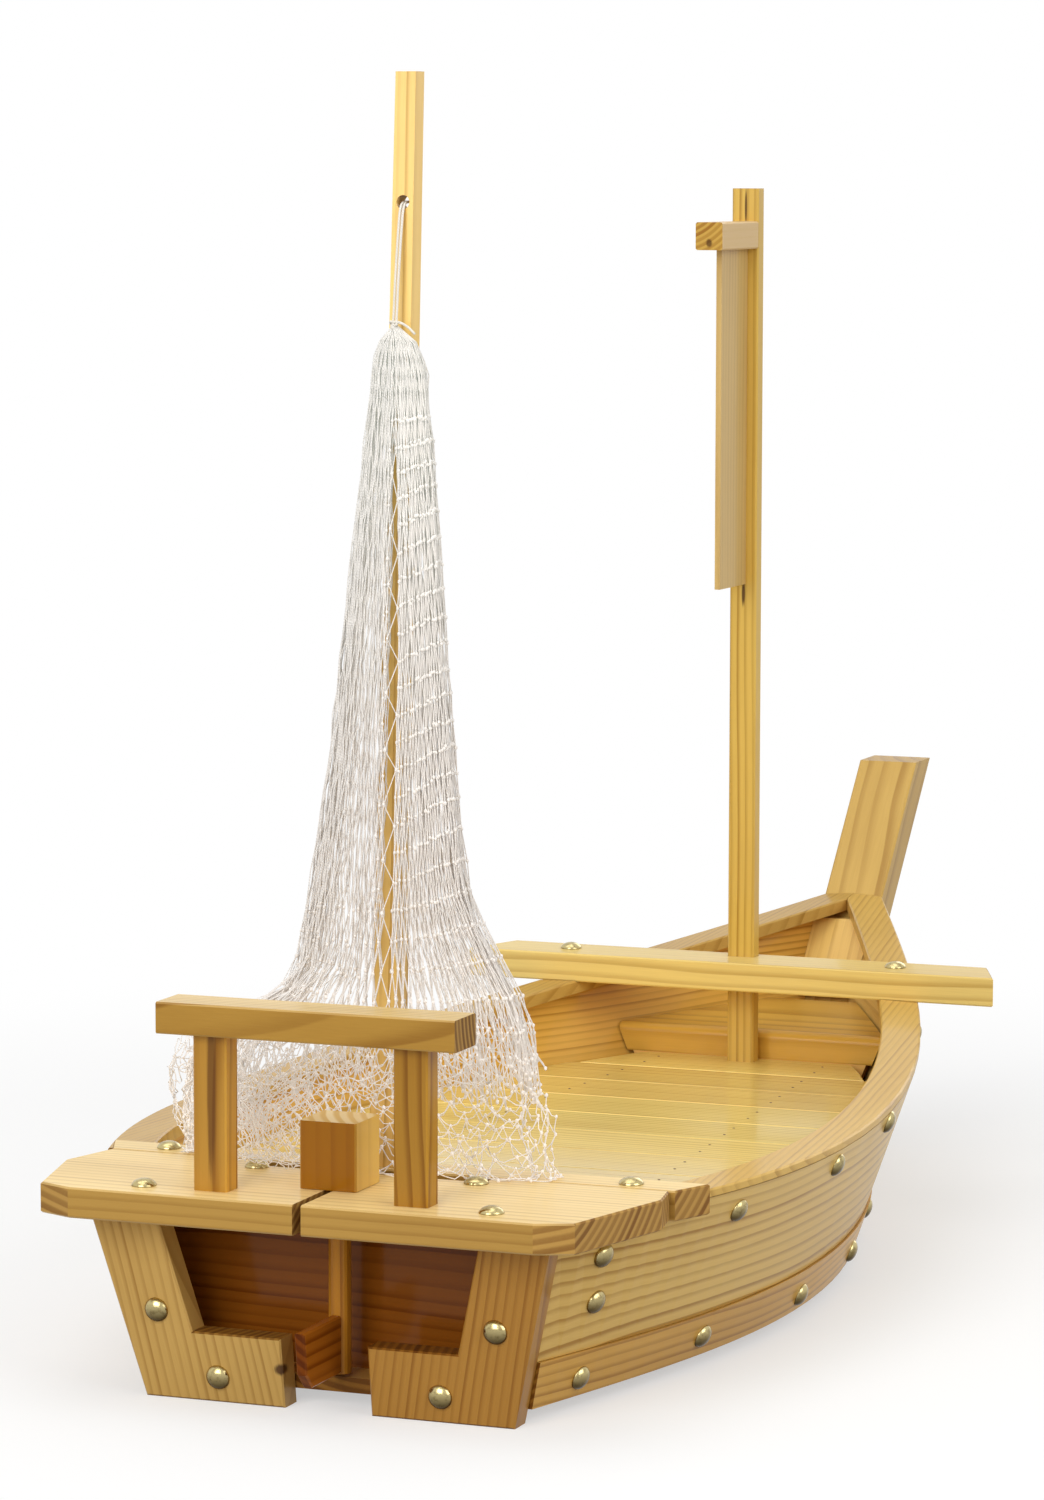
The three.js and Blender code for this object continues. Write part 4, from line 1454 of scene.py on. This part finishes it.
@dataclass
class Fastenings:
    """Brass dome nails of the hull and the dark pins of the slats, placed in millimetres."""

    head: float = 5.75 * MM
    rise: float = 3.4 * MM
    afar: float = 700.0
    half_length: float = 450.0
    deck: tuple[Pair, ...] = (
        (-82.1, -433.2), (86.5, -434.1), (-53.0, -373.4),
        (55.1, -373.4), (-110.3, -345.9), (120.5, -348.5),
    )
    beam: tuple[Pair, ...] = ((-97.3, 150.0), (90.0, 149.0))
    transom: tuple[Pair, ...] = ((-81.8, 41.8), (-53.4, 12.0), (83.5, 45.0), (55.2, 12.3))
    side: tuple[Pair, ...] = (
        (154.8, 81.6), (261.1, 84.8), (357.4, 89.0), (556.0, 99.2), (645.0, 106.6),
        (728.0, 116.4), (65.9, 75.0), (72.0, 52.4), (78.3, 15.6), (173.5, 17.0),
        (285.7, 15.0), (398.0, 14.0), (481.3, 19.2), (575.0, 24.0), (655.0, 33.0),
    )
    pin: float = 0.75 * MM
    pin_rise: float = 0.28 * MM
    pin_sides: int = 8
    pin_shares: Pair = (0.3, 0.7)
    bearer: tuple[float, float, float, float] = (278.0, 73.0, 609.0, 47.0)
    slats: int = 11

    def build(self) -> None:
        """Drive every nail and pin."""
        down, fore = Vector((0, 0, -1)), Vector((0, 1, 0))
        planks = ("stern_plank_aft", "stern_plank_fore")
        sides = {1: "starboard", -1: "port"}
        rows = {
            "stern_deck_nails": [(planks, (x, y, self.afar), down) for x, y in self.deck],
            "crossbeam_nails": [(("crossbeam",), (x, y, self.afar), down) for x, y in self.beam],
            "transom_nails": [
                ((f"transom_{sides[1 if x > 0 else -1]}",), (x, -self.afar, z), fore)
                for x, z in self.transom
            ],
        }
        for s, side in sides.items():
            planks = tuple(f"{p}_{side}" for p in ("upper_strake", "lower_strake", "rail"))
            rows[f"side_nails_{side}"] = [
                (planks, (s * self.afar, y - self.half_length, z), Vector((-s, 0, 0)))
                for y, z in self.side
            ]
        brass = Brass().material()
        for name, nails in rows.items():
            shell = Shell()
            for nodes, start, way in nails:
                spot, normal = landing(nodes, Vector(start) * MM, way)
                shell.dome(spot, normal, self.head, self.rise)
            settle(shell.object(name, brass), Body.HULL)
        self._pins()

    def _pins(self) -> None:
        """Set two dark pins through each end of each slat into the bearers."""
        shell = Shell()
        y0, x0, y1, x1 = self.bearer
        for n in range(1, self.slats + 1):
            low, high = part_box(f"slat_{n}")
            for t in self.pin_shares:
                y = low.y + (high.y - low.y) * t
                x = (x0 + (x1 - x0) * ((y / MM + self.half_length) - y0) / (y1 - y0)) * MM
                for s in (1, -1):
                    foot = Vector((s * x, y, high.z))
                    shell.dome(foot, Vector(UP), self.pin, self.pin_rise, self.pin_sides)
        settle(shell.object("slat_pins", Iron().material()), Body.HULL)


@dataclass
class HullPlanking:
    """Strakes, rails, bottom, stem and transoms."""

    powers: int = 5
    growth: int = 51
    strake_growth: int = 11
    strake_step: int = 7
    rail_growth: int = 31
    transom_growth: int = 41
    bearer_growth: int = 45
    knot: Mark = Mark((-0.0219, -0.4176, 0.0181), (0.0042, 0.008, 0.0034), (0.06, 0.02, 0.007), 0.9)

    def _bend(self, node: str) -> Bend:
        """Curve that a bent plank follows, read from its own solid.

        Args:
            node: the plank's CAD node.

        Returns:
            The bend.
        """
        found = np.array([v.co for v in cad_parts[node].data.vertices], float)
        y, z, x = found[:, 1], found[:, 2], np.abs(found[:, 0])
        rows = np.stack([y**p for p in range(self.powers, -1, -1)] + [z], axis=1)
        fit = np.linalg.lstsq(rows, x, rcond=None)[0]
        return Bend(tuple(float(c) for c in fit[:-1]), float(fit[-1]))

    def dress(self) -> None:
        """Give each plank its finish."""
        self._side("starboard", 1, 0)
        self._side("port", -1, 1)
        athwart, along, stem = Grain.ATHWART, Grain.LENGTHWISE, Grain.RAKED_STEM
        plain = pine(0.50, 0.28, 0.07)
        boards = {
            "bottom_board": Board(pine(0.48, 0.27, 0.07), along, (0.02, 0, 0.08), 5 * MM),
            "foot_batten": Board(pine(0.50, 0.30, 0.09), athwart, (0, 0.06, 0.03)),
            "stem": Board(
                pine(0.565, 0.355, 0.090), stem, (0.05, 0.04, 0), 7.5 * MM,
                figure=0.55, wander=22 * MM, cloud=0.5, ends_from=0.62,
            ),
            "apron": Board(
                pine(0.86, 0.58, 0.17), stem, (0.08, 0.02, 0), 6 * MM, figure=0.35, ends_from=0.62
            ),
            "stern_bulkhead": Board(
                pine(0.225, 0.066, 0.005), athwart, (0, 0.05, 0.05), 4.6 * MM,
                figure=0.8, wander=20 * MM,
            ),
            "bow_bulkhead": Board(pine(0.80, 0.48, 0.135), athwart, (0, 0.05, 0.03), 4 * MM),
            "floor_frame_1": Board(plain, athwart, (0, 0.05, 0.06)),
            "floor_frame_2": Board(plain, athwart, (0, 0.04, 0.06)),
        }
        dress_all(boards, self.growth)

    def _side(self, side: str, s: int, n: int) -> None:
        """Dress one side's planks.

        Args:
            side: its name.
            s: 1 to starboard, -1 to port.
            n: number of the side, which sets its boards' growth.
        """
        star = s > 0
        growth = self.strake_growth + n * self.strake_step
        upper = pine(0.65, 0.425, 0.120) if star else pine(0.74, 0.43, 0.080)
        node = f"lower_strake_{side}"
        strake = Board(
            pine(0.60, 0.335, 0.070), Grain.LENGTHWISE, (-0.060, 0.0, 0.075), 3.9 * MM,
            figure=1.0, wander=15 * MM, bend=self._bend(node),
        )
        dress(node, strake, growth)
        node = f"upper_strake_{side}"
        strake = Board(
            upper, Grain.LENGTHWISE, (-0.050, 0.0, -0.120), (4.4 + 0.8 * s) * MM,
            figure=0.8 + 0.1 * s, wander=11 * MM, bend=self._bend(node),
        )
        dress(node, strake, growth + 1)
        tone = pine(0.615, 0.385, 0.095) if star else pine(0.51, 0.310, 0.075)
        grain = Grain.RAIL_STARBOARD if star else Grain.RAIL_PORT
        rail = Board(tone, grain, (s * 0.16, 0, 0.03), 3.6 * MM, 0.55)
        dress(f"rail_{side}", rail, self.rail_growth + n)
        tone = pine(0.385, 0.185, 0.032) if star else pine(0.50, 0.30, 0.080)
        grain = Grain.TRANSOM_STARBOARD if star else Grain.TRANSOM_PORT
        transom = Board(
            tone, grain, (s * 0.12, 0.03, 0.0), 4.2 * MM,
            figure=0.68, wander=12 * MM, marks=() if star else (self.knot,),
        )
        dress(f"transom_{side}", transom, self.transom_growth + n)
        bearer = Board(pine(0.50, 0.28, 0.07), Grain.LENGTHWISE, (s * 0.1, 0, 0.05))
        dress(f"bearer_{side}", bearer, self.bearer_growth + n)


@dataclass
class Decks:
    """Slatted tray, bow platform, stern planks and the crossbeam.

    The slats' tone runs from far to near, less a dip round a share of the tray's length,
    and shifts a little from slat to slat. Their pith lies so far along the boat and so far
    up or down.
    """

    slats: int = 11
    slat_growth: int = 61
    growth: int = 81
    near: Colour = (0.86, 0.66, 0.255)
    far: Colour = (0.85, 0.65, 0.172)
    dip: Colour = (0.10, 0.16, 0.19)
    dip_at: float = 0.15
    dip_reach: float = 0.12
    slat_luck: int = 100
    shift: Pair = (0.94, 1.05)
    pith_along: Pair = (0.04, 0.1)
    pith_up: Pair = (-0.05, 0.05)

    def dress(self) -> None:
        """Give each deck board its finish."""
        tray = {f"slat_{n}": self._slat(n) for n in range(1, self.slats + 1)}
        dress_all(tray, self.slat_growth)
        athwart = Grain.ATHWART
        boards = {
            "bow_platform": Board(
                pine(0.67, 0.39, 0.062), athwart, (0, 0.03, -0.09), 8 * MM, 0.7, cloud=0.4
            ),
            "stern_plank_aft": self._stern_plank((0, -0.08, 0.065)),
            "stern_plank_fore": self._stern_plank((0, -0.09, 0.075)),
            "crossbeam": Board(pine(0.75, 0.545, 0.168), athwart, (0, 0.09, 0.05), 3.0 * MM, 0.5),
        }
        dress_all(boards, self.growth)

    def _stern_plank(self, pith: Point) -> Board:
        """Finish of a stern plank, with painted shade on its fore and aft edges.

        Args:
            pith: way from the plank's middle to its pith.

        Returns:
            The finish.
        """
        return Board(
            pine(0.83, 0.605, 0.250), Grain.ATHWART, pith, 4.4 * MM, 0.5, ends_from=0.12,
            # Painted shade on the plank's fore and aft faces.
            edge=Grain.LENGTHWISE.value, painted_face_shading=(0.48, 0.37, 0.19),
        )

    def _slat(self, n: int) -> Board:
        """Finish of one slat.

        Args:
            n: its number, counted from the bow.

        Returns:
            The finish.
        """
        t = (n - 1) / (self.slats - 1)
        luck = random.Random(self.slat_luck + n)
        shift = luck.uniform(*self.shift)
        dip = math.exp(-(((t - self.dip_at) / self.dip_reach) ** 2))
        tones = zip(self.near, self.far, self.dip)
        tone = pine(*(shift * (b + (a - b) * t) * (1 - c * dip) for a, b, c in tones))
        along = luck.choice((-1, 1)) * luck.uniform(*self.pith_along)
        pith = (0.0, along, luck.uniform(*self.pith_up))
        return Board(
            tone, Grain.ATHWART, pith, 3.8 * MM, 0.6, cloud=0.3, lacquer=0.6, gloss=0.18
        )


@dataclass
class SternGate:
    """Two posts and the beam over them."""

    growth: int = 91
    heart: Mark = Mark((-0.0475, -0.4354, 0.150), (0.0030, 0.02, 0.060), (0.10, 0.032, 0.007), 0.75)

    def dress(self) -> None:
        """Give each board its finish."""
        beam = Tone((0.79, 0.575, 0.24), (0.42, 0.235, 0.06), (0.095, 0.034, 0.006))
        # The posts' edge tints are painted light on their sides; the beam's is painted shade on its
        # fore and aft faces.
        boards = {
            "gate_post_port": Board(
                pine(0.42, 0.21, 0.030), Grain.UPRIGHT, (0.04, 0.05, 0), 6 * MM,
                figure=0.9, wander=12 * MM, cloud=0.5, marks=(self.heart,),
                edge=Grain.ATHWART.value, painted_face_shading=(1.32, 1.38, 1.30),
            ),
            "gate_post_starboard": Board(
                pine(0.33, 0.158, 0.018), Grain.UPRIGHT, (-0.05, 0.04, 0), 5 * MM,
                figure=1.1, wander=14 * MM, cloud=0.5,
                edge=Grain.ATHWART.value, painted_face_shading=(1.28, 1.34, 1.18),
            ),
            "gate_beam": Board(
                beam, Grain.GATE_BEAM, (0, 0.045, 0.010), 4.0 * MM,
                figure=0.8, wander=14 * MM, cloud=0.35,
                edge=Grain.LENGTHWISE.value, painted_face_shading=(0.56, 0.42, 0.17),
            ),
        }
        dress_all(boards, self.growth)


@dataclass
class Rudder:
    """Turning rudder: post, square head and blade."""

    growth: int = 101

    def dress(self) -> None:
        """Give each piece its finish."""
        head = Tone((0.74, 0.48, 0.115), (0.60, 0.36, 0.09), (0.78, 0.62, 0.34))
        post, blade = pine(0.38, 0.155, 0.014), pine(0.31, 0.092, 0.007)
        boards = {
            # The head's edge tint is painted shade on its fore and aft faces.
            "rudder_head": Board(
                head, Grain.UPRIGHT, (0.09, 0.05, 0), 6 * MM, 0.7,
                edge=Grain.LENGTHWISE.value, painted_face_shading=(0.42, 0.25, 0.04),
            ),
            "rudder_post": Board(post, Grain.UPRIGHT, (0.05, 0.04, 0)),
            "rudder_blade": Board(blade, Grain.LENGTHWISE, (0.04, 0, 0.06), 5 * MM, 1.2),
        }
        dress_all(boards, self.growth)


@dataclass
class Rig:
    """Foremast with its yard and board sail, and the raked aft mast."""

    growth: int = 111
    low: Mark = Mark((0.0003, 0.1544, 0.3265), (0.0013, 0.006, 0.0085), strength=0.9)
    high: Mark = Mark((0.0003, 0.1544, 0.5350), (0.0009, 0.006, 0.0120), strength=0.9)
    eye: Mark = Mark((0.0, 0.0953, 0.5166), (0.0022, 0.006, 0.0028), strength=0.8)

    def dress(self) -> None:
        """Give each spar its finish."""
        yard = Tone((0.70, 0.48, 0.22), (0.60, 0.37, 0.075), (0.33, 0.14, 0.02))
        foremast, aft_mast = pine(0.64, 0.415, 0.085), pine(0.86, 0.575, 0.180)
        marks = (self.low, self.high)
        boards = {
            "foremast": Board(foremast, Grain.UPRIGHT, (0.07, 0.0, 0), 4.2 * MM, marks=marks),
            "yard": Board(
                yard, Grain.LENGTHWISE, (-0.02, 0, 0.03), 3 * MM, 0.25, marks=(self.eye,)
            ),
            "sail": Board(pine(0.58, 0.39, 0.140), Grain.UPRIGHT, (0.03, 0.05, 0), 4 * MM, 0.35),
            "aft_mast": Board(aft_mast, Grain.RAKED_MAST, (0.06, 0.02, 0), 4.0 * MM, 0.6),
        }
        dress_all(boards, self.growth)


def main() -> None:
    """Build the scene in order."""
    logging.basicConfig(level=logging.INFO, format="%(message)s")
    Studio().build()
    NetCord().build()
    DeckNet().build()
    HullPlanking().dress()
    Decks().dress()
    SternGate().dress()
    Rudder().dress()
    Rig().dress()
    Fastenings().build()


if __name__ == "__main__":
    main()
